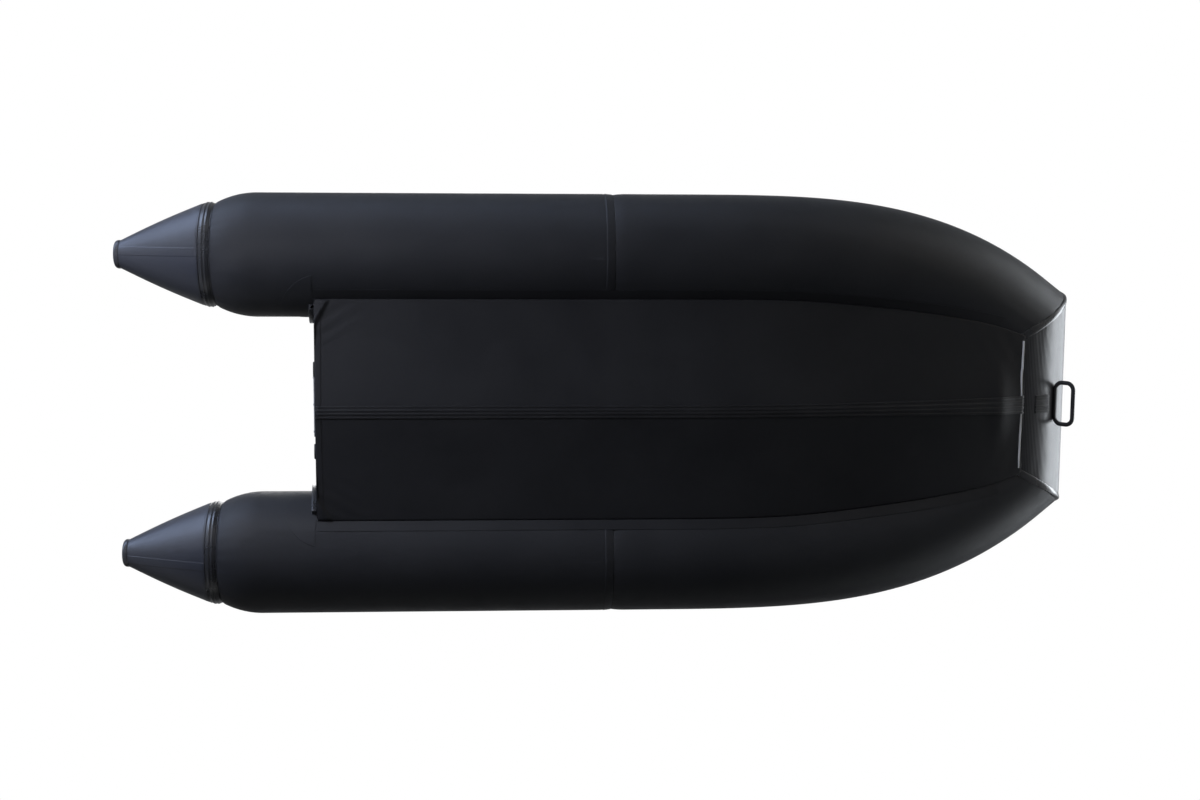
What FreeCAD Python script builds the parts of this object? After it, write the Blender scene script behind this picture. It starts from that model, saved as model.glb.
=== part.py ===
"""Inflatable boat with a soft V bottom, an inflated keel and a board transom.

X points forward, Y to port and Z up. The origin lies on the floor, under the middle of the
overall length, and the boat rests on the undersides of its two side tubes.
"""
import FreeCAD, Part
import math
import os

import Sketcher

Vector = FreeCAD.Vector
PORT = 1
STARBOARD = -1
SIDES = (("port", PORT), ("starboard", STARBOARD))

# Driving dimensions, in millimetres and degrees
SIZES = (
    ("straight_length", 1543, "straight run of a side tube, from its shoulder to the bow curve"),
    ("beam", 1570, "outside of one side tube to the outside of the other"),
    ("tube_diameter", 456, "inflated side and bow tubes"),
    ("bow_corner_spacing", 580, "between the corners of the bow tube, on its axis"),
    ("bow_curve_length", 1310, "length over which the side tubes curve in and lift, behind the bow axis"),
    ("sheer_rise", 190, "lift of the tube axis at the bow"),
    ("seam_distance", 242, "seam between the aft and fore chambers, behind the bow curve"),
    ("cone_length", 305, "stern cone between its cap and its band"),
    ("cone_tip_diameter", 104, "stern cone at its cap"),
    ("cone_root_diameter", 378, "stern cone at its band"),
    ("cap_length", 22, "moulded cap on a cone's tip"),
    ("cap_rounding", 14, "rounded rim of the cap"),
    ("band_width", 42, "doubled band between the cone and the tube"),
    ("band_rib_height", 4, "each of the band's two ribs"),
    ("shoulder_length", 150, "rounded swelling from the band to the full tube"),
    ("seam_waist", 4, "draw-in of the tube at the seam between two chambers"),
    ("seam_waist_length", 50, "length over which a tube draws in at the seam"),
    ("bond_gap", 0.4, "glue line between a tube and what is bonded to it"),
    ("bottom_thickness", 4, "fabric of the bottom, with its doublers"),
    ("bottom_angle", 41, "where the bottom meets a side tube, inboard of straight down"),
    ("bottom_angle_fade", 0.435, "share of the bow curve where that joint begins to run under the tube"),
    ("bottom_front_angle", 4, "where the bottom ends on the bow tube, ahead of straight down"),
    ("bottom_front_width", 520, "front edge of the bottom, on the bow tube"),
    ("keel_depth", 45, "keel line below the edges of the bottom"),
    ("keel_fade_start", 0.49, "share of the bow curve where the keel begins to fade"),
    ("flange_width", 40, "bonded flange of the bottom on a tube"),
    ("flange_thickness", 1.4, "bonded flange of the bottom"),
    ("flange_parting", 1.2, "between the bottom's edge and its flange"),
    ("keel_guard_width", 46, "ribbed strip along the keel"),
    ("keel_guard_bow_width", 68, "ribbed strip where it reaches the bow tube"),
    ("keel_guard_thickness", 2, "web of the ribbed strip"),
    ("keel_ribs", 4, "number of ribs along the keel strip"),
    ("keel_rib_height", 1.5, "ribs of the keel strip"),
    ("keel_rib_share", 0.54, "share of the keel strip's width that its ribs take"),
    ("bow_guard_length", 66, "guard patch on the bow tube, ahead of the keel strip"),
    ("bow_guard_angle", 24, "middle of the guard patch, ahead of straight down"),
    ("transom_distance", 236, "transom's lower edge, ahead of the side tubes' shoulders"),
    ("transom_height", 400, "top edge of the transom above the floor"),
    ("transom_thickness", 30, "transom board"),
    ("transom_rake", 5, "lean of the transom aft, in degrees"),
    ("transom_top_width", 500, "level top edge of the transom"),
    ("transom_shoulder_height", 330, "where the transom's sloping shoulder leaves the tube"),
    ("holder_base", 6, "rubber holder between the transom and a tube"),
    ("holder_rib", 24, "upstanding ribs of the holder, each side of the board"),
    ("holder_width", 66, "rubber holder along the tube"),
    ("holder_low_angle", 48, "lower end of the holder, inboard of straight down"),
    ("holder_high_angle", 114, "upper end of the holder, inboard of straight down"),
    ("motor_pad_width", 240, "outer motor plate"),
    ("motor_pad_height", 170, "outer motor plate"),
    ("motor_pad_thickness", 8, "outer motor plate"),
    ("motor_pad_drop", 12, "motor plates below the transom's top edge"),
    ("inner_pad_width", 220, "inner motor plate"),
    ("inner_pad_height", 100, "inner motor plate"),
    ("inner_pad_thickness", 6, "inner motor plate"),
    ("patch_radius", 135, "round reinforcing patch behind the transom"),
    ("patch_thickness", 1.2, "round reinforcing patch"),
    ("patch_angle", 52, "middle of the patch, inboard of straight down"),
    ("drain_diameter", 38, "drain fitting through the transom"),
    ("drain_offset", 150, "drain fittings each side of the middle"),
    ("drain_height", 64, "drain fittings above the floor"),
    ("drain_flange", 5, "flange of the drain fitting"),
    ("floor_height", 80, "underside of the floor boards"),
    ("floor_thickness", 12, "floor boards"),
    ("floor_reach", 328, "level floor's front end, ahead of where the bow curve starts"),
    ("floor_start_gap", 30, "transom to the first floor board"),
    ("floor_side_gap", 8, "stringer to the tube beside it"),
    ("bow_board_length", 440, "tapered board ahead of the level floor"),
    ("bow_board_end_width", 470, "front edge of the tapered board"),
    ("bow_board_rise", 5.6, "slope of the tapered board, in degrees"),
    ("joiner_flange", 34, "flanges of the joiner between two boards"),
    ("joiner_wall", 2, "walls of joiners and stringers"),
    ("stringer_flange", 26, "flanges of a stringer over the boards' edge"),
    ("slip", 0.3, "clearance between parts that slide together"),
    ("rest_gap", 0.1, "between parts that lie on one another"),
    ("keel_tube_width", 160, "inflated keel under the floor"),
    ("keel_tube_gap", 2.1, "between the inflated keel and the bottom"),
    ("keel_tube_reach", 414, "inflated keel along the tapered board"),
    ("rail_angle", 44, "seat rail, inboard of straight up"),
    ("rail_start", 190, "transom to the aft end of a seat rail"),
    ("rail_end_gap", 37, "front end of a seat rail to the bow curve"),
    ("rail_base_width", 46, "bonded base of the seat rail"),
    ("rail_base_height", 3, "bonded base of the seat rail"),
    ("rail_neck", 5, "neck of the rail"),
    ("rail_head_width", 14, "head of the rail"),
    ("rail_head_height", 5, "head of the rail"),
    ("seat_width", 220, "seat board, fore and aft"),
    ("seat_thickness", 18, "seat board"),
    ("seat_corner", 30, "rounded corners of the seat board"),
    ("seat_rear_distance", 520, "transom to the middle of the rear seat"),
    ("seat_front_distance", 287, "middle of the front seat to the bow curve"),
    ("shoe_length", 180, "seat shoe that runs on the rail"),
    ("shoe_wall", 8, "walls of the seat shoe"),
    ("rowlock_distance", 770, "transom to the rowlocks"),
    ("rowlock_pad_diameter", 116, "bonded rowlock pad"),
    ("rowlock_pad_height", 6, "bonded rowlock pad, at the top of the tube"),
    ("rowlock_boss_diameter", 42, "socket on the rowlock pad, at its top"),
    ("rowlock_boss_foot", 63, "socket on the rowlock pad, at its foot"),
    ("rowlock_boss_height", 24, "socket on the rowlock pad"),
    ("rowlock_pin_diameter", 12, "pin of the rowlock"),
    ("rowlock_pin_clearance", 0.5, "pin in its socket, on the diameter"),
    ("rowlock_ring_bore", 50, "bore of the ring that holds an oar"),
    ("rowlock_ring_wall", 10, "wall of the ring"),
    ("rowlock_ring_depth", 28, "ring along the oar"),
    ("bow_handle_angle", 41, "bow handle, ahead of straight down"),
    ("bow_handle_rise", 89, "bow handle's outer bar above its tube"),
    ("bow_handle_width", 175, "bow handle across the boat"),
    ("bow_handle_bar", 16, "bars of the bow handle, in the plane of its loop"),
    ("bow_handle_depth", 10, "bars of the bow handle, across its loop"),
    ("bow_handle_strip", 28, "bonded strip that is the bow handle's inner bar"),
    ("handle_bar", 18, "bars of the carrying handles"),
    ("handle_rounding", 26, "outer corners of a handle's loop"),
    ("handle_base_height", 7, "bonded base of a handle"),
    ("handle_base_margin", 16, "base of a carrying handle beyond its loop at each end"),
    ("handle_base_width", 74, "bonded base of a carrying handle across its bar"),
    ("handle_tilt_rise", 56, "carrying handle above its tube"),
    ("carry_handle_width", 190, "carrying handle along the tube"),
    ("carry_handle_angle", 38, "carrying handle, outboard of straight up"),
    ("carry_fore_share", 0.34, "forward carrying handles, as a share of the bow curve"),
    ("carry_aft_distance", 180, "aft carrying handles, ahead of the transom"),
    ("valve_flange_diameter", 74, "air valve's bonded flange"),
    ("valve_cap_diameter", 52, "air valve's cap"),
    ("valve_height", 13, "air valve above the tube"),
    ("valve_rounding", 3, "rim of the air valve's cap"),
    ("valve_flange_height", 2.5, "air valve's bonded flange"),
    ("valve_fore_share", 0.43, "fore chamber's air valve, as a share of the bow curve"),
    ("valve_angle", 62, "air valves, inboard of straight up"),
    ("strake_width", 56, "rub strake around the tube"),
    ("strake_thickness", 12, "rub strake at its middle"),
    ("strake_angle", 118, "rub strake, outboard of straight down"),
)

doc = FreeCAD.newDocument("InflatableBoat")
dims = doc.addObject("Spreadsheet::Sheet", "Dim")
for row, (alias, size, note) in enumerate(SIZES, start=1):
    dims.set(f"A{row}", note)
    dims.set(f"B{row}", str(size))
    dims.setAlias(f"B{row}", alias)
doc.recompute()

nodes = []


def value(expression):
    """The number that an expression on the sheet gives, in millimetres or degrees."""
    found = dims.evalExpression(str(expression))
    return float(getattr(found, "Value", found))


def node(feature, name):
    """Name a finished sub-part, which gets a file of its own."""
    feature.Label = name
    nodes.append(feature)
    return feature


def feature(kind, name, **bindings):
    """A feature whose properties are bound to expressions on the sheet."""
    made = doc.addObject(kind, name)
    for prop, expression in bindings.items():
        made.setExpression(prop, str(expression))
    return made


def place(x="0", y="0", z="0", yaw="0", pitch="0", roll="0"):
    """The expression of a placement: position, then turns about Z, Y and X."""
    position = f"create(<<vector>>; {x}; {y}; {z})"
    turn = f"create(<<rotation>>; {yaw}; {pitch}; {roll})"
    return f"create(<<placement>>; {position}; {turn})"


def cut(base, tool, name):
    """Base without tool."""
    made = doc.addObject("Part::Cut", name)
    made.Base = base
    made.Tool = tool
    return made


def common(base, tool, name):
    """What base and tool share."""
    made = doc.addObject("Part::Common", name)
    made.Base = base
    made.Tool = tool
    return made


def fuse(shapes, name):
    """One solid made of several that meet."""
    made = doc.addObject("Part::MultiFuse", name)
    made.Shapes = shapes
    made.Refine = True
    return made


def outline(body, role, corners, name):
    """A closed outline on one of the body's origin planes.

    A corner is (across, up), or (across, up, radius) where the edge that leaves it is an arc.
    A positive radius has its centre to the left of that edge, a negative one to the right.
    """
    sketch = body.newObject("Sketcher::SketchObject", name)
    plane = [item for item in body.Origin.OriginFeatures if item.Role == role][0]
    sketch.AttachmentSupport = [(plane, "")]
    sketch.MapMode = "FlatFace"
    points = [Vector(value(corner[0]), value(corner[1]), 0) for corner in corners]
    ends = []
    for index, corner in enumerate(corners):
        start = points[index]
        stop = points[(index + 1) % len(points)]
        if len(corner) == 2:
            edge = sketch.addGeometry(Part.LineSegment(start, stop), False)
            ends.append((edge, 1, 2))
            continue
        radius = value(corner[2])
        chord = stop - start
        left = Vector(-chord.y, chord.x, 0).normalize() * math.copysign(1, radius)
        depth = math.sqrt(max(radius ** 2 - (chord.Length / 2) ** 2, 0))
        centre = (start + stop) * 0.5 + left * depth
        angles = [math.atan2(point.y - centre.y, point.x - centre.x) for point in (start, stop)]
        turned = radius > 0
        first, last = angles if turned else reversed(angles)
        if last < first:
            last += 2 * math.pi
        circle = Part.Circle(centre, Vector(0, 0, 1), abs(radius))
        edge = sketch.addGeometry(Part.ArcOfCircle(circle, first, last), False)
        ends.append((edge, 1, 2) if turned else (edge, 2, 1))
        number = sketch.addConstraint(Sketcher.Constraint("Radius", edge, abs(radius)))
        sketch.setExpression(f"Constraints[{number}]", f"abs({corner[2]})")
    for index, (edge, _, tail) in enumerate(ends):
        following, head, _ = ends[(index + 1) % len(ends)]
        sketch.addConstraint(Sketcher.Constraint("Coincident", edge, tail, following, head))
    for (edge, head, _), corner, point in zip(ends, corners, points):
        for kind, expression, size in (("DistanceX", corner[0], point.x), ("DistanceY", corner[1], point.y)):
            number = sketch.addConstraint(Sketcher.Constraint(kind, -1, 1, edge, head, size))
            sketch.setExpression(f"Constraints[{number}]", str(expression))
    return sketch


def pad(body, role, corners, length, name, midplane=True):
    """A profile drawn out at right angles to one of the body's origin planes."""
    made = body.newObject("PartDesign::Pad", name)
    made.Profile = outline(body, role, corners, f"{name}_outline")
    made.Midplane = midplane
    made.setExpression("Length", str(length))
    return made


def turned(body, role, corners, axis, name):
    """A profile turned about one of the body's own axes."""
    made = body.newObject("PartDesign::Revolution", name)
    made.Profile = outline(body, role, corners, f"{name}_outline")
    made.ReferenceAxis = ([item for item in body.Origin.OriginFeatures if item.Role == axis][0], [""])
    made.Angle = 360
    return made


def body(name, placement):
    """A body whose place is bound to the sheet."""
    made = doc.addObject("PartDesign::Body", name)
    made.setExpression("Placement", placement)
    return made


def solid(name, shape):
    """A sub-part whose surface is lofted through sections worked out from the sheet."""
    made = doc.addObject("Part::Feature", name)
    made.Shape = shape
    made.Placement = FreeCAD.Placement()
    return node(made, name)


# Reference lines of the hull
RADIUS = "(Dim.tube_diameter / 2)"
STERN_LENGTH = "(Dim.cap_length + Dim.cone_length + Dim.band_width + Dim.shoulder_length)"
HULL_LENGTH = f"({STERN_LENGTH} + Dim.straight_length + Dim.bow_curve_length + {RADIUS})"
HANDLE_TIP = "(Dim.tube_diameter / 2 + Dim.bow_handle_rise)"
HANDLE_FORE = (f"({HANDLE_TIP} * sin(Dim.bow_handle_angle * 1 deg)"
               " + Dim.bow_handle_depth / 2 * cos(Dim.bow_handle_angle * 1 deg))")
STERN = f"(-({HULL_LENGTH} + max(0; {HANDLE_FORE} - {RADIUS})) / 2)"
BAND_START = f"({STERN} + Dim.cap_length + Dim.cone_length)"
BAND_END = f"({BAND_START} + Dim.band_width)"
SHOULDER_END = f"({BAND_END} + Dim.shoulder_length)"
CURVE_START = f"({SHOULDER_END} + Dim.straight_length)"
BOW_AXIS = f"({CURVE_START} + Dim.bow_curve_length)"
BOW_HEIGHT = f"({RADIUS} + Dim.sheer_rise)"
SEAM = f"({CURVE_START} - Dim.seam_distance)"
HALF_GAUGE = "((Dim.beam - Dim.tube_diameter) / 2)"
TOE_IN = f"({HALF_GAUGE} - Dim.bow_corner_spacing / 2)"
TRANSOM = f"({SHOULDER_END} + Dim.transom_distance)"
BOND = f"({RADIUS} + Dim.bond_gap)"
CURVE_POWER = 3.5


def axis_x(share):
    """Tube axis along the boat, at a share of the bow curve: 0 where it starts, 1 at the corner."""
    return f"({CURVE_START} + ({share}) * Dim.bow_curve_length)"


def share_at(x):
    """The share of the bow curve at a place along the boat, below 0 on the straight part."""
    return f"((({x}) - {CURVE_START}) / Dim.bow_curve_length)"


def axis_y(share):
    """Distance of a side tube's axis from the middle plane, a power curve that ends at the corner."""
    return f"({HALF_GAUGE} - {TOE_IN} * max(0; {share})^{CURVE_POWER})"


def axis_z(share):
    """Height of the tube's axis, a parabola along the bow curve."""
    return f"({RADIUS} + Dim.sheer_rise * max(0; {share})^2)"


def heading(share):
    """Angle by which a side tube points inboard."""
    steep = f"{CURVE_POWER} * {TOE_IN} * max(0; {share})^{CURVE_POWER - 1}"
    return f"atan({steep} / Dim.bow_curve_length)"


def climb(share):
    """Angle by which a side tube points up."""
    steep = f"2 * Dim.sheer_rise * max(0; {share}) / Dim.bow_curve_length"
    return f"atan({steep} * cos({heading(share)}))"


def along(share, side, ahead="0"):
    """A point on a side tube's axis, moved ahead along its tangent."""
    level = f"({ahead}) * cos({climb(share)})"
    x = f"{axis_x(share)} + {level} * cos({heading(share)})"
    y = f"{side} * ({axis_y(share)} - {level} * sin({heading(share)}))"
    z = f"{axis_z(share)} + ({ahead}) * sin({climb(share)})"
    return x, y, z


def across_tube(share, side, ahead="0"):
    """Placement whose Z axis is the tube's tangent, for sections of the tube."""
    x, y, z = along(share, side, ahead)
    return place(x, y, z, f"{-side} * {heading(share)}", f"90 deg - {climb(share)}", "0")


def on_tube(share, side, angle="0"):
    """Placement whose X axis is the tube's tangent, its Z axis turned inboard from straight up."""
    x, y, z = along(share, side)
    return place(x, y, z, f"{-side} * {heading(share)}", f"-{climb(share)}", f"{side} * {angle}")


def tube_frame(share, side):
    """Centre, tangent, inboard and upward directions of a tube section, as vectors."""
    centre = Vector(*[value(item) for item in along(share, side)])
    yaw = math.radians(value(heading(share)))
    pitch = math.radians(value(climb(share)))
    ahead = Vector(math.cos(yaw) * math.cos(pitch), -side * math.sin(yaw) * math.cos(pitch), math.sin(pitch))
    inboard = Vector(-math.sin(yaw), -side * math.cos(yaw), 0)
    upward = Vector(-math.cos(yaw) * math.sin(pitch), side * math.sin(yaw) * math.sin(pitch), math.cos(pitch))
    return centre, ahead, inboard, upward


def around(share, side, reach, angle):
    """The point at a reach from the tube's axis, at an angle inboard of straight down."""
    centre, _, inboard, upward = tube_frame(share, side)
    turn = math.radians(angle)
    return centre + inboard * (reach * math.sin(turn)) - upward * (reach * math.cos(turn))


# Mitre planes between the side tubes and the bow tube
MITRE_AHEAD = f"(cos({heading(1)}) * cos({climb(1)}))"
MITRE_INWARD = f"(1 + sin({heading(1)}) * cos({climb(1)}))"
MITRE_RISE = f"sin({climb(1)})"
MITRE_YAW = f"atan({MITRE_INWARD} / {MITRE_AHEAD})"
MITRE_CLIMB = f"atan({MITRE_RISE} / sqrt({MITRE_AHEAD}^2 + {MITRE_INWARD}^2))"
MITRE_REACH = "(3 * Dim.tube_diameter)"


def mitre_tool(side, name, keep_aft):
    """A block that lies ahead of a corner's mitre plane, or behind it."""
    back = "0 deg" if keep_aft else "180 deg"
    seat = place(BOW_AXIS, f"{side} * Dim.bow_corner_spacing / 2", BOW_HEIGHT,
                 f"{-side} * {MITRE_YAW}", f"90 deg - {MITRE_CLIMB} + {back}", "0")
    return feature("Part::Cylinder", name, Radius=MITRE_REACH, Height=MITRE_REACH, Placement=seat)


def polygon(points):
    """A closed wire through points."""
    return Part.makePolygon(list(points) + [points[0]])


def lofted(wires, ruled=False):
    """A solid through closed sections."""
    return Part.makeLoft(wires, True, ruled)


def hull_strip(section, straight_start, fore_shares, extra=()):
    """A strip straight from one share to where the bow curve starts, then lofted smoothly forward."""
    aft = lofted([section(straight_start), section(0)], ruled=True)
    fore = lofted([section(share) for share in fore_shares] + list(extra))
    return aft.fuse(fore).removeSplitter()


def spread(first, last, count):
    """Evenly spaced shares from first to last."""
    return [first + (last - first) * step / (count - 1) for step in range(count)]


# Stern cones, their caps and bands
def make_stern(name, side):
    """Moulded cap, cone and ribbed band at the end of a side tube, in line with its axis."""
    y = f"{side} * {HALF_GAUGE}"
    cap = body(f"cone_cap_{name}", place(STERN, y, RADIUS))
    tip = "Dim.cone_tip_diameter / 2"
    rim = "Dim.cap_rounding"
    turned(cap, "XY_Plane", [
        ("0", "0"), ("Dim.cap_length", "0"), ("Dim.cap_length", tip),
        (rim, tip, rim), ("0", f"{tip} - {rim}"),
    ], "X_Axis", f"cap_turn_{name}")
    node(cap, f"cone_cap_{name}")
    cone = feature(
        "Part::Cone", f"cone_{name}", Radius1=tip, Radius2="Dim.cone_root_diameter / 2",
        Height="Dim.cone_length", Placement=place(f"{STERN} + Dim.cap_length", y, RADIUS, "0", "90", "0"))
    node(cone, f"cone_{name}")
    band = body(f"cone_band_{name}", place(BAND_START, y, RADIUS))
    root = "Dim.cone_root_diameter / 2"
    crest = f"({root} + Dim.band_rib_height)"
    steps = (0.04, 0.12, 0.36, 0.44, 0.56, 0.64, 0.88, 0.96)
    levels = (root, crest, crest, root, root, crest, crest, root)
    ridge = [(f"{step} * Dim.band_width", level) for step, level in zip(steps, levels)]
    profile = [("0", "0"), ("0", root)] + ridge + [("Dim.band_width", root), ("Dim.band_width", "0")]
    turned(band, "XY_Plane", profile, "X_Axis", f"band_turn_{name}")
    node(band, f"cone_band_{name}")


for side_name, side_sign in SIDES:
    make_stern(side_name, side_sign)


# Air chambers
def make_aft_chamber(name, side):
    """Straight chamber from the rounded shoulder at the cone to the seam amidships."""
    chamber = body(f"chamber_aft_{name}", place(BAND_END, f"{side} * {HALF_GAUGE}", RADIUS))
    length = f"({SEAM} - {BAND_END})"
    root = "(Dim.cone_root_diameter / 2)"
    swell = f"({RADIUS} - {root})"
    bulge = f"((Dim.shoulder_length^2 + {swell}^2) / (2 * {swell}))"
    waist = f"((Dim.seam_waist_length^2 + Dim.seam_waist^2) / (2 * Dim.seam_waist))"
    turned(chamber, "XY_Plane", [
        ("0", "0"), ("0", root, f"-{bulge}"), ("Dim.shoulder_length", RADIUS),
        (f"{length} - Dim.seam_waist_length", RADIUS, f"-{waist}"),
        (length, f"{RADIUS} - Dim.seam_waist"), (length, "0"),
    ], "X_Axis", f"chamber_turn_{name}")
    node(chamber, f"chamber_aft_{name}")


def make_fore_chamber(name, side):
    """Chamber that curves in and lifts from the seam amidships to the bow mitre."""
    neck = body(f"fore_neck_{name}", place(SEAM, f"{side} * {HALF_GAUGE}", RADIUS))
    length = f"({CURVE_START} - {SEAM})"
    waist = f"((Dim.seam_waist_length^2 + Dim.seam_waist^2) / (2 * Dim.seam_waist))"
    turned(neck, "XY_Plane", [
        ("0", "0"), ("0", f"{RADIUS} - Dim.seam_waist", f"-{waist}"), ("Dim.seam_waist_length", RADIUS),
        (length, RADIUS), (length, "0"),
    ], "X_Axis", f"fore_neck_turn_{name}")
    rings = []
    stations = [(share, "0") for share in spread(0.0, 1.0, 11)]
    stations += [("1", f"{RADIUS} * {beyond}") for beyond in (0.45, 0.9)]
    for number, (share, ahead) in enumerate(stations):
        rings.append(feature("Part::Circle", f"ring_{name}_{number}", Radius=RADIUS,
                             Placement=across_tube(share, side, ahead)))
    tube = doc.addObject("Part::Loft", f"fore_tube_{name}")
    tube.Sections = rings
    tube.Solid = True
    whole = fuse([neck, tube], f"fore_whole_{name}")
    chamber = cut(whole, mitre_tool(side, f"mitre_aft_{name}", True), f"chamber_fore_{name}")
    node(chamber, f"chamber_fore_{name}")
    return chamber


def make_bow_chamber():
    """Short straight chamber across the bow, mitred at both ends."""
    length = "(Dim.bow_corner_spacing + 2 * Dim.tube_diameter)"
    seat = place(BOW_AXIS, f"-{length} / 2", BOW_HEIGHT, "90 deg", "90 deg", "0")
    tube = feature("Part::Cylinder", "bow_tube", Radius=RADIUS, Height=length, Placement=seat)
    trimmed = cut(tube, mitre_tool(PORT, "mitre_bow_port", False), "bow_tube_trimmed")
    chamber = cut(trimmed, mitre_tool(STARBOARD, "mitre_bow_starboard", False), "chamber_bow")
    return node(chamber, "chamber_bow")


fore_chambers = {}
for side_name, side_sign in SIDES:
    make_aft_chamber(side_name, side_sign)
    fore_chambers[side_sign] = make_fore_chamber(side_name, side_sign)
bow_chamber = make_bow_chamber()
doc.recompute()

# Bottom of the hull
TRANSOM_SHARE = value(share_at(f"{TRANSOM} - Dim.transom_thickness / 2"))
KEEL_FADE = value("Dim.keel_fade_start")
BOTTOM_ANGLE = value("Dim.bottom_angle")
BOTTOM = value("Dim.bottom_thickness")
ANGLE_FADE = value("Dim.bottom_angle_fade")
LAST_SIDE_SHARE = 0.91


def bottom_angle(share):
    """Where the bottom meets the tube at a station: constant, then down to the lowest line."""
    fade = max(0.0, (share - ANGLE_FADE) / (1 - ANGLE_FADE))
    return BOTTOM_ANGLE * (1 - fade ** 2)


def keel_drop(share):
    """Depth of the keel line below the bottom's edges."""
    fade = max(0.0, (share - KEEL_FADE) / (1 - KEEL_FADE))
    return value("Dim.keel_depth") * (1 - fade ** 2)


def bottom_section(share, below=0.0):
    """Half section of the bottom's upper face, lowered by a distance: edge point and keel point."""
    upper = around(share, PORT, value(BOND), bottom_angle(share))
    lower = around(share, PORT, value(BOND) + below, bottom_angle(share))
    return Vector(upper.x, lower.y, lower.z), Vector(upper.x, 0, upper.z - keel_drop(share) - below)


def bow_section(angle, half_width, below=0.0):
    """Half section of the bottom where it lies on the bow tube, ahead of straight down."""
    turn = math.radians(angle)
    reach = value(BOND) + below
    x = value(BOW_AXIS) + reach * math.sin(turn)
    z = value(BOW_HEIGHT) - reach * math.cos(turn)
    return Vector(x, half_width, z), Vector(x, 0, z)


def mirrored(point):
    """The same point on the other side of the boat."""
    return Vector(point.x, -point.y, point.z)


FRONT_ANGLE = value("Dim.bottom_front_angle")
FRONT_HALF = value("Dim.bottom_front_width / 2")
FORE_SHARES = spread(0.0, LAST_SIDE_SHARE, 9)


def make_bottom():
    """V-shaped fabric bottom, lofted from the transom to the underside of the bow tube."""

    def wire(lower, upper):
        low_edge, low_keel = lower
        edge, keel = upper
        return polygon([mirrored(low_edge), low_keel, low_edge, edge, keel, mirrored(edge)])

    def section(share):
        return wire(bottom_section(share, BOTTOM), bottom_section(share))

    lip = wire(bow_section(FRONT_ANGLE, FRONT_HALF, BOTTOM), bow_section(FRONT_ANGLE, FRONT_HALF))
    skin = hull_strip(section, TRANSOM_SHARE, FORE_SHARES, [lip])
    tubes = [bow_chamber.Shape] + [chamber.Shape for chamber in fore_chambers.values()]
    solid("hull_bottom", skin.cut(tubes))


def rib_edges():
    """Edges of the guard's ribs across it, as shares of its half width, from one side to the other."""
    count = round(value("Dim.keel_ribs"))
    rib = 2 * value("Dim.keel_rib_share") / count
    gap = (2 - count * rib) / (count - 1)
    return [(-1 + number * (rib + gap), -1 + number * (rib + gap) + rib) for number in range(count)]


def make_keel_guard():
    """Ribbed strip under the keel, wider at the bow."""
    web = value("Dim.keel_guard_thickness")
    rib = value("Dim.keel_rib_height")
    below = BOTTOM + value("Dim.bond_gap")
    middle_rib = rib * (round(value("Dim.keel_ribs")) % 2)
    ribbed = [(0.0, web + middle_rib)]
    for start, stop in rib_edges():
        ribbed += [(start, web), (start, web + rib), (stop, web + rib), (stop, web)]
    ribbed = sorted(ribbed, key=lambda corner: corner[0])[1:-1]

    def wire(edge, keel):
        grown = max(0.0, (keel.x - value(SEAM)) / (value(BOW_AXIS) - value(SEAM)))
        width = value("Dim.keel_guard_width") + grown ** 3 * (
            value("Dim.keel_guard_bow_width") - value("Dim.keel_guard_width"))
        slope = (edge.z - keel.z) / edge.y
        lower = [Vector(keel.x, share * width / 2, keel.z + abs(share) * width / 2 * slope - depth)
                 for share, depth in ribbed]
        upper = [Vector(keel.x, width / 2, keel.z + width / 2 * slope), keel,
                 Vector(keel.x, -width / 2, keel.z + width / 2 * slope)]
        return polygon(lower + upper)

    def section(share):
        return wire(*bottom_section(share, below))

    end = wire(*bow_section(FRONT_ANGLE, FRONT_HALF, below))
    solid("keel_guard", hull_strip(section, TRANSOM_SHARE, FORE_SHARES, [end]))


def sector_wire(share, side, inner, outer, low, high):
    """Section of a strip bonded around a tube, between two angles inboard of straight down."""
    middle = (low + high) / 2
    inside = [around(share, side, inner, angle) for angle in (low, middle, high)]
    outside = [around(share, side, outer, angle) for angle in (high, middle, low)]
    edges = [Part.Arc(*inside).toShape(), Part.LineSegment(inside[2], outside[0]).toShape(),
             Part.Arc(*outside).toShape(), Part.LineSegment(outside[2], inside[0]).toShape()]
    return Part.Wire(edges)


def make_bottom_flange(name, side):
    """Bonded flange of the bottom, on the tube just outboard of the joint."""
    width = math.degrees(value("Dim.flange_width") / value(RADIUS))
    parting = math.degrees(value("Dim.flange_parting") / value(RADIUS))
    inner = value(BOND)
    outer = value(f"{BOND} + Dim.flange_thickness")

    def section(share):
        high = bottom_angle(share) - parting
        return sector_wire(share, side, inner, outer, high - width, high)

    strip = hull_strip(section, TRANSOM_SHARE, FORE_SHARES)
    solid(f"bottom_flange_{name}", strip.cut(doc.getObject("hull_bottom").Shape))


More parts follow.
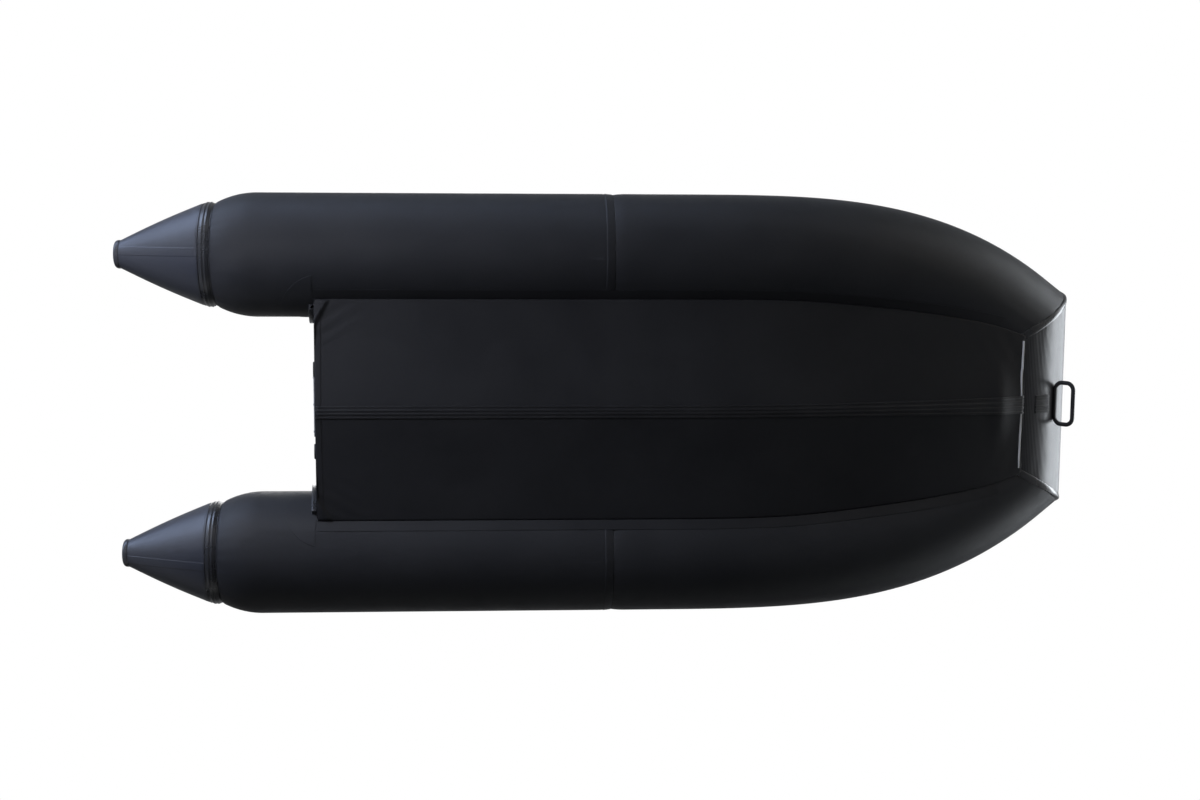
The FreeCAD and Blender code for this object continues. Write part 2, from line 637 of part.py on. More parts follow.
def make_bow_guard():
    """Curved, ribbed guard patch on the bow tube, in line with the keel strip."""
    half = f"(Dim.bow_guard_length / 2 / {RADIUS} * 180 / pi * 1 deg)"
    low = f"(Dim.bow_guard_angle * 1 deg - {half})"
    high = f"(Dim.bow_guard_angle * 1 deg + {half})"
    web = f"({BOND} + Dim.keel_guard_thickness)"
    crest = f"({web} + Dim.keel_rib_height)"

    def strip(name, across, width, outer):
        guard = body(name, place(BOW_AXIS, across, BOW_HEIGHT))
        pad(guard, "XZ_Plane", [
            (f"{BOND} * sin({low})", f"-{BOND} * cos({low})", BOND),
            (f"{BOND} * sin({high})", f"-{BOND} * cos({high})"),
            (f"{outer} * sin({high})", f"-{outer} * cos({high})", f"-{outer}"),
            (f"{outer} * sin({low})", f"-{outer} * cos({low})"),
        ], width, f"{name}_pad")
        return guard

    width = "Dim.keel_guard_bow_width"
    strips = [strip("bow_guard_web", "0", width, web)]
    for number, (start, stop) in enumerate(rib_edges()):
        strips.append(strip(f"bow_guard_rib_{number}", f"{(start + stop) / 4} * {width}",
                            f"{(stop - start) / 2} * {width}", crest))
    node(fuse(strips, "bow_guard"), "bow_guard")


make_bottom()
make_keel_guard()
for side_name, side_sign in SIDES:
    make_bottom_flange(side_name, side_sign)
make_bow_guard()


# Transom, its rubber holders, motor plates, patches and drain
def around_axis(reach, angle, side):
    """Corner at a reach and an angle inboard of straight down, about a side tube's axis."""
    return (f"{side} * ({HALF_GAUGE} - {reach} * sin({angle}))", f"{RADIUS} - {reach} * cos({angle})")


RAKED = place(TRANSOM, "0", "0", "0", "-Dim.transom_rake", "0")


def leaning_slab(name, thickness):
    """A wide slab that leans as the transom does, centred on its middle plane."""
    slab = body(name, RAKED)
    half = "Dim.beam / 2"
    pad(slab, "YZ_Plane", [
        (f"-{half}", "-Dim.tube_diameter / 2"), (half, "-Dim.tube_diameter / 2"),
        (half, "2 * Dim.transom_height"), (f"-{half}", "2 * Dim.transom_height"),
    ], thickness, f"{name}_pad")
    return slab


def make_transom():
    """Plywood board between the tubes, its sides scribed to the holders, bored for the drains."""
    board = body("transom_blank", RAKED)
    side_y = f"({HALF_GAUGE} - {BOND} * sin(Dim.bottom_angle * 1 deg))"
    side_low = f"({RADIUS} - {BOND} * cos(Dim.bottom_angle * 1 deg) + 5 * Dim.slip)"
    low = f"({side_low} - Dim.keel_depth)"
    shoulder = "Dim.transom_shoulder_height"
    shoulder_y = f"({HALF_GAUGE} - sqrt({RADIUS}^2 - ({shoulder} - {RADIUS})^2))"
    half = [
        (side_y, side_low), (side_y, RADIUS), (shoulder_y, shoulder),
        ("Dim.transom_top_width / 2", "Dim.transom_height"),
    ]
    other = [(f"-{across}", up) for across, up in reversed(half)]
    pad(board, "YZ_Plane", [("0", low)] + half + other, "Dim.transom_thickness", "transom_pad")
    scribed = board
    for name, side in SIDES:
        seat = place(f"{TRANSOM} - 2 * Dim.holder_width", f"{side} * {HALF_GAUGE}", RADIUS, "0", "90", "0")
        reach = feature("Part::Cylinder", f"scribe_{name}", Radius=f"{BOND} + Dim.holder_base + Dim.slip",
                        Height="4 * Dim.holder_width", Placement=seat)
        scribed = cut(scribed, reach, f"transom_scribed_{name}")
        scribed = cut(scribed, drain_bore(name, side), f"transom_bored_{name}")
    node(scribed, "transom_board")


def make_holder(name, side):
    """Rubber profile bonded to the tube, with a rib on each side of the board."""
    low = "(Dim.holder_low_angle * 1 deg)"
    high = "(Dim.holder_high_angle * 1 deg)"
    inner = f"({BOND} + Dim.patch_thickness + Dim.bond_gap)"
    floor = f"({BOND} + Dim.holder_base)"
    outer = f"({BOND} + Dim.holder_rib)"
    sign = 1 if side == PORT else -1

    def ring(near, far, title):
        profile = body(title, place(TRANSOM, "0", "0"))
        corners = [
            around_axis(near, low, side) + (f"{-sign} * {near}",),
            around_axis(near, high, side),
            around_axis(far, high, side) + (f"{sign} * {far}",),
            around_axis(far, low, side),
        ]
        pad(profile, "YZ_Plane", corners, "3 * Dim.holder_width", f"{title}_pad")
        return profile

    ribs = cut(ring(floor, outer, f"holder_ribs_{name}"), slot, f"holder_slotted_{name}")
    whole = fuse([ring(inner, floor, f"holder_base_{name}"), ribs], f"holder_whole_{name}")
    node(common(whole, leaning_slab(f"holder_trim_{name}", "Dim.holder_width"), f"transom_holder_{name}"),
         f"transom_holder_{name}")


def make_patch(name, side):
    """Round patch bonded on the inner side of the tube, under the holder."""
    y = f"{side} * {HALF_GAUGE}"
    seat = place(f"{TRANSOM} - 2 * Dim.patch_radius", y, RADIUS, "0", "90", "0")
    ring_outer = feature("Part::Cylinder", f"patch_outer_{name}", Radius=f"{BOND} + Dim.patch_thickness",
                         Height="4 * Dim.patch_radius", Placement=seat)
    ring_inner = feature("Part::Cylinder", f"patch_inner_{name}", Radius=BOND, Height="4 * Dim.patch_radius",
                         Placement=seat)
    inboard = place(TRANSOM, y, RADIUS, "0", "0", f"{side} * (180 deg - Dim.patch_angle * 1 deg)")
    punch = feature("Part::Cylinder", f"patch_punch_{name}", Radius="Dim.patch_radius",
                    Height="Dim.tube_diameter", Placement=inboard)
    sheet = cut(ring_outer, ring_inner, f"patch_ring_{name}")
    disc = common(sheet, punch, f"patch_disc_{name}")
    front = f"{TRANSOM} - Dim.transom_thickness / 2 - Dim.holder_width / 8"
    under = place(front, f"{y} - Dim.tube_diameter / 2", f"-{RADIUS} * cos(Dim.bottom_angle * 1 deg)")
    ahead = feature("Part::Box", f"patch_trim_{name}", Length="Dim.patch_radius * 2",
                    Width="Dim.tube_diameter", Height=RADIUS, Placement=under)
    node(cut(disc, ahead, f"transom_patch_{name}"), f"transom_patch_{name}")


def make_motor_plate(name, size, face):
    """Plate on a face of the transom, below its top edge; face is -1 aft or 1 forward."""
    width, height, thickness = size
    plate = body(name, RAKED)
    top = "(Dim.transom_height - Dim.motor_pad_drop)"
    near = f"{face} * (Dim.transom_thickness / 2)"
    far = f"{face} * (Dim.transom_thickness / 2 + {thickness})"
    pad(plate, "XZ_Plane", [(near, f"{top} - {height}"), (far, f"{top} - {height} + {thickness}"),
                            (far, f"{top} - {thickness}"), (near, top)], width, f"{name}_pad")
    node(plate, name)


DRAIN_X = f"{TRANSOM} - Dim.drain_height * sin(Dim.transom_rake * 1 deg)"
DRAIN_Z = "Dim.drain_height * cos(Dim.transom_rake * 1 deg)"


def drain_bore(name, side):
    """Hole through the transom for a drain fitting."""
    half = "1.5 * Dim.transom_thickness"
    seat = place(f"{DRAIN_X} - {half} * cos(Dim.transom_rake * 1 deg)", f"{side} * Dim.drain_offset",
                 f"{DRAIN_Z} - {half} * sin(Dim.transom_rake * 1 deg)", "0", "90 - Dim.transom_rake", "0")
    return feature("Part::Cylinder", f"drain_bore_{name}", Radius="Dim.drain_diameter / 2 + Dim.slip",
                   Height=f"2 * {half}", Placement=seat)


def make_drain(name, side):
    """Flanged drain socket through the transom, closed by its plug."""
    seat = place(DRAIN_X, f"{side} * Dim.drain_offset", DRAIN_Z, "0", "-Dim.transom_rake", "0")
    drain = body(f"drain_{name}", seat)
    half = "(Dim.transom_thickness / 2)"
    bore = "(Dim.drain_diameter / 2)"
    flange = f"({bore} + 2 * Dim.drain_flange)"
    rim = f"({flange} - Dim.drain_flange / 2)"
    turned(drain, "XY_Plane", [
        (f"-{half} - Dim.drain_flange", "0"), (f"-{half} - Dim.drain_flange", rim), (f"-{half}", flange),
        (f"-{half}", bore), (half, bore), (half, flange), (f"{half} + Dim.drain_flange", rim),
        (f"{half} + Dim.drain_flange", "0"),
    ], "X_Axis", f"drain_turn_{name}")
    node(drain, f"drain_{name}")


slot = leaning_slab("holder_slot", "Dim.transom_thickness + 2 * Dim.slip")
make_transom()
for side_name, side_sign in SIDES:
    make_holder(side_name, side_sign)
    make_patch(side_name, side_sign)
    make_drain(side_name, side_sign)
OUTER_PLATE = ("Dim.motor_pad_width", "Dim.motor_pad_height", "Dim.motor_pad_thickness")
INNER_PLATE = ("Dim.inner_pad_width", "Dim.inner_pad_height", "Dim.inner_pad_thickness")
make_motor_plate("motor_plate_outer", OUTER_PLATE, -1)
make_motor_plate("motor_plate_inner", INNER_PLATE, 1)

# Floor
FLOOR_START = f"({TRANSOM} + Dim.transom_thickness / 2 + Dim.floor_start_gap)"
FLOOR_END = f"({CURVE_START} + Dim.floor_reach)"
FLOOR_LENGTH = f"({FLOOR_END} - {FLOOR_START})"
FLOOR_TOP = "(Dim.floor_height + Dim.floor_thickness)"
STRINGER_TOP = f"({FLOOR_TOP} + Dim.slip + Dim.joiner_wall)"
TUBE_SIDE = f"({HALF_GAUGE} - sqrt({RADIUS}^2 - ({RADIUS} - {STRINGER_TOP})^2))"
STRINGER_SIDE = f"({TUBE_SIDE} - Dim.floor_side_gap)"
FLOOR_SIDE = f"({STRINGER_SIDE} - Dim.joiner_wall - Dim.slip)"
BOARD_COUNT = 3
JOINT = "(Dim.joiner_wall + 2 * Dim.slip)"
BOARD_LENGTH = f"(({FLOOR_LENGTH} - {BOARD_COUNT - 1} * {JOINT}) / {BOARD_COUNT})"


def board_start(number):
    """Aft edge of a level floor board."""
    return f"({FLOOR_START} + {number} * ({BOARD_LENGTH} + {JOINT}))"


BOW_BOARD_START = f"({FLOOR_END} + Dim.floor_thickness * sin(Dim.bow_board_rise * 1 deg) + Dim.rest_gap)"


def make_floor():
    """Three level boards and a tapered one that slopes up towards the bow."""
    for number in range(BOARD_COUNT):
        board = body(f"floor_board_{number + 1}", place(board_start(number), "0", "Dim.floor_height"))
        right, left = f"-{FLOOR_SIDE}", FLOOR_SIDE
        corners = [("0", right), (BOARD_LENGTH, right), (BOARD_LENGTH, left), ("0", left)]
        pad(board, "XY_Plane", corners, "Dim.floor_thickness", f"floor_pad_{number + 1}", midplane=False)
        node(board, f"floor_board_{number + 1}")
    sloped = place(BOW_BOARD_START, "0", "Dim.floor_height", "0", "-Dim.bow_board_rise", "0")
    front = body("floor_board_bow", sloped)
    end = "(Dim.bow_board_end_width / 2)"
    root = f"({FLOOR_SIDE} - 4 * Dim.floor_side_gap)"
    length = "Dim.bow_board_length"
    corners = [("0", f"-{root}"), (length, f"-{end}"), (length, end), ("0", root)]
    pad(front, "XY_Plane", corners, "Dim.floor_thickness", "floor_pad_bow", midplane=False)
    node(front, "floor_board_bow")


def make_joiner(number):
    """H-shaped joiner between two boards."""
    middle = f"{board_start(number)} - {JOINT} / 2"
    joiner = body(f"floor_joiner_{number}", place(middle, "0", "Dim.floor_height"))
    web = "Dim.joiner_wall / 2"
    low = "-Dim.slip"
    under = f"{low} - Dim.joiner_wall"
    high = "(Dim.floor_thickness + Dim.slip)"
    over = f"{high} + Dim.joiner_wall"
    flange = "Dim.joiner_flange / 2"
    profile = [
        (f"-{flange}", under), (flange, under), (flange, low), (web, low), (web, high), (flange, high),
        (flange, over), (f"-{flange}", over), (f"-{flange}", high), (f"-{web}", high), (f"-{web}", low),
        (f"-{flange}", low),
    ]
    width = f"2 * ({FLOOR_SIDE} - Dim.stringer_flange - Dim.slip)"
    pad(joiner, "XZ_Plane", profile, width, f"joiner_pad_{number}")
    node(joiner, f"floor_joiner_{number}")


def make_stringer(name, side):
    """U-shaped stringer over the edges of the level boards."""
    middle = f"(({FLOOR_START} + {FLOOR_END}) / 2)"
    stringer = body(f"floor_stringer_{name}", place(middle, "0", "Dim.floor_height"))
    outer = f"{side} * {STRINGER_SIDE}"
    wall = f"{side} * ({STRINGER_SIDE} - Dim.joiner_wall)"
    lip = f"{side} * ({STRINGER_SIDE} - Dim.stringer_flange)"
    low = "-Dim.slip"
    under = f"{low} - Dim.joiner_wall"
    high = "(Dim.floor_thickness + Dim.slip)"
    over = f"{high} + Dim.joiner_wall"
    profile = [
        (lip, under), (outer, under), (outer, over), (lip, over),
        (lip, high), (wall, high), (wall, low), (lip, low),
    ]
    pad(stringer, "YZ_Plane", profile, FLOOR_LENGTH, f"stringer_pad_{name}")
    node(stringer, f"floor_stringer_{name}")


def make_keel_tube():
    """Inflated keel between the bottom and the floor, following the rise of the bow board."""
    half_width = value("Dim.keel_tube_width / 2")
    heel_fullness = 0.8
    underside = value("Dim.floor_height - Dim.joiner_wall - 2 * Dim.slip")
    board_root = value(BOW_BOARD_START)
    board_reach = value("Dim.keel_tube_reach")
    board_rise = math.tan(math.radians(value("Dim.bow_board_rise"))) * board_reach
    lift = value("Dim.floor_height - Dim.rest_gap") + board_rise - underside
    start = value(f"{TRANSOM} + Dim.transom_thickness")
    curve_start = value(CURVE_START)
    stop = board_root + board_reach

    def section(x, fullness=1.0):
        keel = bottom_section(value(share_at(x)))[1].z + value("Dim.keel_tube_gap")
        roof = underside + lift * max(0.0, (x - board_root) / board_reach) ** 2
        centre = Vector(x, 0, (keel + roof) / 2)
        ellipse = Part.Ellipse(centre + Vector(0, half_width * fullness, 0),
                               centre + Vector(0, 0, (roof - keel) / 2 * fullness), centre)
        return Part.Wire(ellipse.toShape())

    heel = lofted([section(start, heel_fullness), section(start + half_width / 2)], ruled=True)
    middle = lofted([section(start + half_width / 2), section(curve_start)], ruled=True)
    fore = lofted([section(x) for x in spread(curve_start, stop, 8)])
    solid("keel_tube", heel.fuse([middle, fore]).removeSplitter())


make_floor()
for joint_number in range(1, BOARD_COUNT):
    make_joiner(joint_number)
for side_name, side_sign in SIDES:
    make_stringer(side_name, side_sign)
make_keel_tube()

# Seats and their rails
RAIL_ANGLE = "(Dim.rail_angle * 1 deg)"
RAIL_START = f"({TRANSOM} + Dim.rail_start)"
RAIL_LENGTH = f"({CURVE_START} - Dim.rail_end_gap - {RAIL_START})"


def on_rail(reach, aside, side):
    """Corner at a reach from the tube's axis and a distance aside of the rail's middle plane."""
    across = f"{side} * ({HALF_GAUGE} - ({reach}) * sin({RAIL_ANGLE}) + ({aside}) * cos({RAIL_ANGLE}))"
    up = f"{RADIUS} + ({reach}) * cos({RAIL_ANGLE}) + ({aside}) * sin({RAIL_ANGLE})"
    return across, up


RAIL_BASE = f"({BOND} + Dim.rail_base_height)"
RAIL_NECK = f"({RAIL_BASE} + Dim.rail_neck)"
RAIL_HEAD = f"({RAIL_NECK} + Dim.rail_head_height)"


def make_rail(name, side):
    """T-headed rail bonded along the inner top of a side tube."""
    rail = body(f"seat_rail_{name}", place(f"{RAIL_START} + {RAIL_LENGTH} / 2"))
    base = "(Dim.rail_base_width / 2)"
    neck = "(Dim.rail_neck / 2)"
    head = "(Dim.rail_head_width / 2)"
    sag = f"sqrt({BOND}^2 - {base}^2)"
    against_tube = on_rail(sag, f"-{base}", side) + (f"{-side} * {BOND}",)
    steps = [
        (sag, base), (RAIL_BASE, base), (RAIL_BASE, neck), (RAIL_NECK, neck), (RAIL_NECK, head),
        (RAIL_HEAD, head), (RAIL_HEAD, f"-{head}"), (RAIL_NECK, f"-{head}"), (RAIL_NECK, f"-{neck}"),
        (RAIL_BASE, f"-{neck}"), (RAIL_BASE, f"-{base}"),
    ]
    profile = [against_tube] + [on_rail(reach, aside, side) for reach, aside in steps]
    pad(rail, "YZ_Plane", profile, RAIL_LENGTH, f"rail_pad_{name}")
    node(rail, f"seat_rail_{name}")


def round_corners(owner, base, radius, name):
    """Round the upright corners of a board."""
    upright = []
    for number, edge in enumerate(base.Shape.Edges, start=1):
        along_edge = edge.Vertexes[0].Point - edge.Vertexes[-1].Point
        if math.hypot(along_edge.x, along_edge.y) < abs(along_edge.z):
            upright.append(f"Edge{number}")
    rounded = owner.newObject("PartDesign::Fillet", name)
    rounded.Base = (base, upright)
    rounded.setExpression("Radius", radius)
    return rounded


def make_seat(name, middle):
    """Seat board between two shoes that run on the rails."""
    seat = body(f"seat_{name}", place(middle))
    slip = "(2 * Dim.slip)"
    floor = f"({RAIL_BASE} + {slip})"
    throat = f"({RAIL_NECK} - {slip})"
    roof = f"({RAIL_HEAD} + {slip})"
    crown = f"({roof} + Dim.shoe_wall)"
    neck = f"(Dim.rail_neck / 2 + {slip})"
    head = f"(Dim.rail_head_width / 2 + {slip})"
    outer = f"({head} + Dim.shoe_wall)"
    plank_low = f"({RADIUS} + {crown} * cos({RAIL_ANGLE}) - Dim.shoe_wall)"
    reach = f"({HALF_GAUGE} - {crown} * sin({RAIL_ANGLE}))"
    plank = [(f"-{reach}", plank_low), (reach, plank_low), (reach, f"{plank_low} + Dim.seat_thickness"),
             (f"-{reach}", f"{plank_low} + Dim.seat_thickness")]
    board = pad(seat, "YZ_Plane", plank, "Dim.seat_width", f"seat_pad_{name}")
    doc.recompute()
    round_corners(seat, board, "Dim.seat_corner", f"seat_corners_{name}")
    steps = [
        (floor, f"-{outer}"), (floor, f"-{neck}"), (throat, f"-{neck}"), (throat, f"-{head}"),
        (roof, f"-{head}"), (roof, head), (throat, head), (throat, neck), (floor, neck), (floor, outer),
        (crown, outer), (crown, f"-{outer}"),
    ]
    for side_name, side in SIDES:
        profile = [on_rail(reach_up, aside, side) for reach_up, aside in steps]
        pad(seat, "YZ_Plane", profile, "Dim.shoe_length", f"shoe_pad_{name}_{side_name}")
    node(seat, f"seat_{name}")


for side_name, side_sign in SIDES:
    make_rail(side_name, side_sign)
make_seat("rear", f"{TRANSOM} + Dim.seat_rear_distance")
make_seat("front", f"{CURVE_START} - Dim.seat_front_distance")

# Rowlocks
ROWLOCK = f"({TRANSOM} + Dim.rowlock_distance)"
ROWLOCK_TOP = f"(Dim.tube_diameter + Dim.rowlock_pad_height + Dim.rowlock_boss_height)"


def make_rowlock(name, side):
    """Bonded pad with a socket on top of the tube, and the ring that swivels in it."""
    y = f"{side} * {HALF_GAUGE}"
    sag = f"({RADIUS} - sqrt({RADIUS}^2 - (Dim.rowlock_pad_diameter / 2)^2))"
    plate = feature(
        "Part::Cylinder", f"rowlock_plate_{name}", Radius="Dim.rowlock_pad_diameter / 2",
        Height=f"Dim.rowlock_pad_height + {sag}", Placement=place(ROWLOCK, y, f"Dim.tube_diameter - {sag}"))
    boss = feature(
        "Part::Cone", f"rowlock_boss_{name}", Radius1="Dim.rowlock_boss_foot / 2",
        Radius2="Dim.rowlock_boss_diameter / 2", Height="Dim.rowlock_boss_height",
        Placement=place(ROWLOCK, y, "Dim.tube_diameter + Dim.rowlock_pad_height"))
    seat = feature(
        "Part::Cylinder", f"rowlock_seat_{name}", Radius=BOND, Height="2 * Dim.rowlock_pad_diameter",
        Placement=place(f"{ROWLOCK} - Dim.rowlock_pad_diameter", y, RADIUS, "0", "90", "0"))
    socket = feature(
        "Part::Cylinder", f"rowlock_socket_{name}",
        Radius="(Dim.rowlock_pin_diameter + Dim.rowlock_pin_clearance) / 2",
        Height="Dim.rowlock_boss_height * 2",
        Placement=place(ROWLOCK, y, "Dim.tube_diameter + Dim.rowlock_pad_height"))
    whole = fuse([plate, boss], f"rowlock_whole_{name}")
    scribed = cut(whole, seat, f"rowlock_scribed_{name}")
    node(cut(scribed, socket, f"rowlock_base_{name}"), f"rowlock_base_{name}")

    outer = "(Dim.rowlock_ring_bore / 2 + Dim.rowlock_ring_wall)"
    height = f"({ROWLOCK_TOP} + Dim.slip + {outer} + Dim.rowlock_ring_wall / 2)"
    across = place(ROWLOCK, f"{y} - Dim.rowlock_ring_depth / 2", height, "90 deg", "90 deg", "0")
    rim = feature("Part::Cylinder", f"ring_rim_{name}", Radius=outer, Height="Dim.rowlock_ring_depth",
                  Placement=across)
    bore = feature("Part::Cylinder", f"ring_bore_{name}", Radius="Dim.rowlock_ring_bore / 2",
                   Height="Dim.rowlock_ring_depth", Placement=across)
    collar = feature(
        "Part::Cylinder", f"ring_collar_{name}", Radius="Dim.rowlock_boss_diameter / 2 - Dim.slip",
        Height="Dim.rowlock_ring_wall", Placement=place(ROWLOCK, y, f"{ROWLOCK_TOP} + Dim.slip"))
    pin_foot = f"{ROWLOCK_TOP} + 2 * Dim.rowlock_pin_clearance - Dim.rowlock_boss_height"
    pin = feature("Part::Cylinder", f"ring_pin_{name}", Radius="Dim.rowlock_pin_diameter / 2",
                  Height="Dim.rowlock_boss_height", Placement=place(ROWLOCK, y, pin_foot))
    ring = cut(fuse([rim, collar, pin], f"ring_whole_{name}"), bore, f"rowlock_ring_{name}")
    node(ring, f"rowlock_ring_{name}")


for side_name, side_sign in SIDES:
    make_rowlock(side_name, side_sign)


# Handles
def make_handle(name, placement, loop, base, scribe=None):
    """Loop on a bonded base; the body's Z axis points away from the tube and Y runs around it.

    The loop is its width, its rise above the tube, and its bars' width and depth. The base is its
    width around the tube and its margin beyond the loop.
    """
    width, rise, bar, depth = loop
    base_width, margin = base
    handle = body(f"{name}_moulding", placement)
    side = f"({base_width} / 2)"
    foot = f"sqrt({BOND}^2 - {side}^2)"
    top = f"({BOND} + Dim.handle_base_height)"
    pad(handle, "YZ_Plane", [
        (f"-{side}", foot, f"-{BOND}"), (side, foot),
        (f"{side} - Dim.handle_base_height", top), (f"-{side} + Dim.handle_base_height", top),
    ], f"{width} + 2 * {margin}", f"{name}_base")
    half = f"({width} / 2)"
    crest = f"({RADIUS} + {rise})"
    root = f"({top} - Dim.handle_base_height / 3)"
    outer = "Dim.handle_rounding"
    inner = "(Dim.handle_rounding / 2)"
    grip = [
        (f"-{half}", root), (f"-{half}", f"{crest} - {outer}", f"-{outer}"), (f"-{half} + {outer}", crest),
        (f"{half} - {outer}", crest, f"-{outer}"), (half, f"{crest} - {outer}"), (half, root),
        (f"{half} - {bar}", root), (f"{half} - {bar}", f"{crest} - {bar} - {inner}", inner),
        (f"{half} - {bar} - {inner}", f"{crest} - {bar}"),
        (f"-{half} + {bar} + {inner}", f"{crest} - {bar}", inner),
        (f"-{half} + {bar}", f"{crest} - {bar} - {inner}"), (f"-{half} + {bar}", root),
    ]
    pad(handle, "XZ_Plane", grip, depth, f"{name}_grip")
    node(cut(handle, scribe, name) if scribe else handle, name)


BOW_HANDLE_SEAT = place(BOW_AXIS, "0", BOW_HEIGHT, "-90 deg", "0", "Dim.bow_handle_angle * 1 deg - 180 deg")
BOW_LOOP = ("Dim.bow_handle_width", "Dim.bow_handle_rise", "Dim.bow_handle_bar", "Dim.bow_handle_depth")
BOW_STRIP = ("Dim.bow_handle_strip", "Dim.slip")
CARRY_LOOP = ("Dim.carry_handle_width", "Dim.handle_tilt_rise", "Dim.handle_bar", "Dim.handle_bar")
CARRY_BASE = ("Dim.handle_base_width", "Dim.handle_base_margin")
CARRY_AFT_SHARE = share_at(f"{TRANSOM} + Dim.carry_aft_distance")
CARRY_FORE_SHARE = "Dim.carry_fore_share"
make_handle("bow_handle", BOW_HANDLE_SEAT, BOW_LOOP, BOW_STRIP)
for side_name, side_sign in SIDES:
    aft_seat = on_tube(CARRY_AFT_SHARE, side_sign, "(-Dim.carry_handle_angle)")
    make_handle(f"carry_handle_aft_{side_name}", aft_seat, CARRY_LOOP, CARRY_BASE)
    fore_seat = on_tube(CARRY_FORE_SHARE, side_sign, "(-Dim.carry_handle_angle)")
    make_handle(f"carry_handle_fore_{side_name}", fore_seat, CARRY_LOOP, CARRY_BASE, fore_chambers[side_sign])


# Air valves
def make_valve(name, placement, seat_placement):
    """Flanged valve with a ribbed cap, seated on the curve of its tube."""
    valve = body(f"{name}_turned", placement)
    flange = "(Dim.valve_flange_diameter / 2)"
    cap = "(Dim.valve_cap_diameter / 2)"
    foot = f"({RADIUS} - {flange}^2 / Dim.tube_diameter)"
    top = f"({BOND} + Dim.valve_flange_height)"
    bevel = "(Dim.valve_flange_height / 2)"
    crown = f"({RADIUS} + Dim.valve_height)"
    turned(valve, "XZ_Plane", [
        ("0", foot), (flange, foot), (flange, f"{top} - {bevel}"), (f"{flange} - {bevel}", top), (cap, top),
        (cap, f"{crown} - Dim.valve_rounding"), (f"{cap} - Dim.valve_rounding", crown), ("0", crown),
    ], "Z_Axis", f"{name}_turn")
    seat = feature("Part::Cylinder", f"{name}_seat", Radius=BOND, Height="3 * Dim.valve_flange_diameter",
                   Placement=seat_placement)
    node(cut(valve, seat, name), name)


VALVE_AFT_SHARE = share_at(f"{TRANSOM} + Dim.rail_start / 2")
for side_name, side_sign in SIDES:
    for end_name, end_share in (("aft", VALVE_AFT_SHARE), ("fore", "Dim.valve_fore_share")):
        make_valve(f"valve_{end_name}_{side_name}", on_tube(end_share, side_sign, "Dim.valve_angle"),
                   across_tube(end_share, side_sign, "-1.5 * Dim.valve_flange_diameter"))
make_valve("valve_bow", place(BOW_AXIS, "0", BOW_HEIGHT, "0", "-Dim.valve_angle", "0"),
           place(BOW_AXIS, "-1.5 * Dim.valve_flange_diameter", BOW_HEIGHT, "90 deg", "90 deg", "0"))


# Rub strakes
def strake_wire(points):
    """D-shaped section: an arc against the tube and a fuller one outside."""
    inside, outside = points
    return Part.Wire([Part.Arc(*inside).toShape(), Part.Arc(*outside).toShape()])


def strake_angles():
    """Lower edge, middle and upper edge of the strake, about the tube's axis."""
    half = math.degrees(value("Dim.strake_width") / 2 / value(RADIUS))
    middle = value("Dim.strake_angle")
    return middle - half, middle, middle + half


def make_side_strake(name, side):
    """Rubber strip along the outer side of a tube, from the shoulder to the bow mitre."""
    low, middle, high = strake_angles()
    inner = value(BOND)
    outer = value(f"{BOND} + Dim.strake_thickness")

    def section(share):
        inside = [around(share, side, inner, -angle) for angle in (low, middle, high)]
        crest = ((inner, high), (outer, middle), (inner, low))
        outside = [around(share, side, reach, -angle) for reach, angle in crest]
        return strake_wire((inside, outside))

    _, ahead, _, _ = tube_frame(1.0, side)
    beyond = [section(1.0).translated(ahead * (value(RADIUS) * step)) for step in (0.4, 0.8)]
    strip = hull_strip(section, value(share_at(SHOULDER_END)), spread(0.0, 1.0, 10), beyond)
    solid(f"rub_strake_{name}", strip.cut(doc.getObject(f"mitre_aft_{name}").Shape))


def make_bow_strake():
    """Rubber strip across the front of the bow tube, mitred with the side strips."""
    low, middle, high = strake_angles()
    inner = value(BOND)
    outer = value(f"{BOND} + Dim.strake_thickness")
    half = value("Dim.bow_corner_spacing / 2 + Dim.tube_diameter")

    def corner(reach, angle, y):
        turn = math.radians(angle)
        return Vector(value(BOW_AXIS) + reach * math.sin(turn), y, value(BOW_HEIGHT) - reach * math.cos(turn))

    wires = []
    for y in (-half, half):
        inside = [corner(inner, angle, y) for angle in (low, middle, high)]
        outside = [corner(reach, angle, y) for reach, angle in ((inner, high), (outer, middle), (inner, low))]
        wires.append(strake_wire((inside, outside)))
    strip = lofted(wires, ruled=True)
    for name, _ in SIDES:
        strip = strip.cut(doc.getObject(f"mitre_bow_{name}").Shape)
    solid("rub_strake_bow", strip)


doc.recompute()
for side_name, side_sign in SIDES:
    make_side_strake(side_name, side_sign)
make_bow_strake()

doc.recompute()

# Check and write every sub-part
for item in doc.Objects:
    if "Invalid" in item.State or "Error" in item.State:
        raise RuntimeError(f"{item.Name} failed: {item.State}")
os.makedirs("parts", exist_ok=True)
for item in nodes:
    shape = item.Shape
    if shape.isNull() or not shape.isValid() or not shape.Solids:
        raise RuntimeError(f"{item.Label} has no valid solid")
    shape.exportStep(f"parts/{item.Label}.step")
    print(item.Label, len(shape.Solids), round(shape.Volume / 1000), "cm3")
print(len(nodes), "sub-parts")
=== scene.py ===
"""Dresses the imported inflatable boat: coated fabric, moulded rubber, boards, fittings and stage."""
from __future__ import annotations

import logging
import math
from collections.abc import Callable, Iterator
from contextlib import contextmanager
from dataclasses import dataclass, field
from enum import Enum

import bmesh
import bpy
import numpy as np
from mathutils import Matrix, Vector

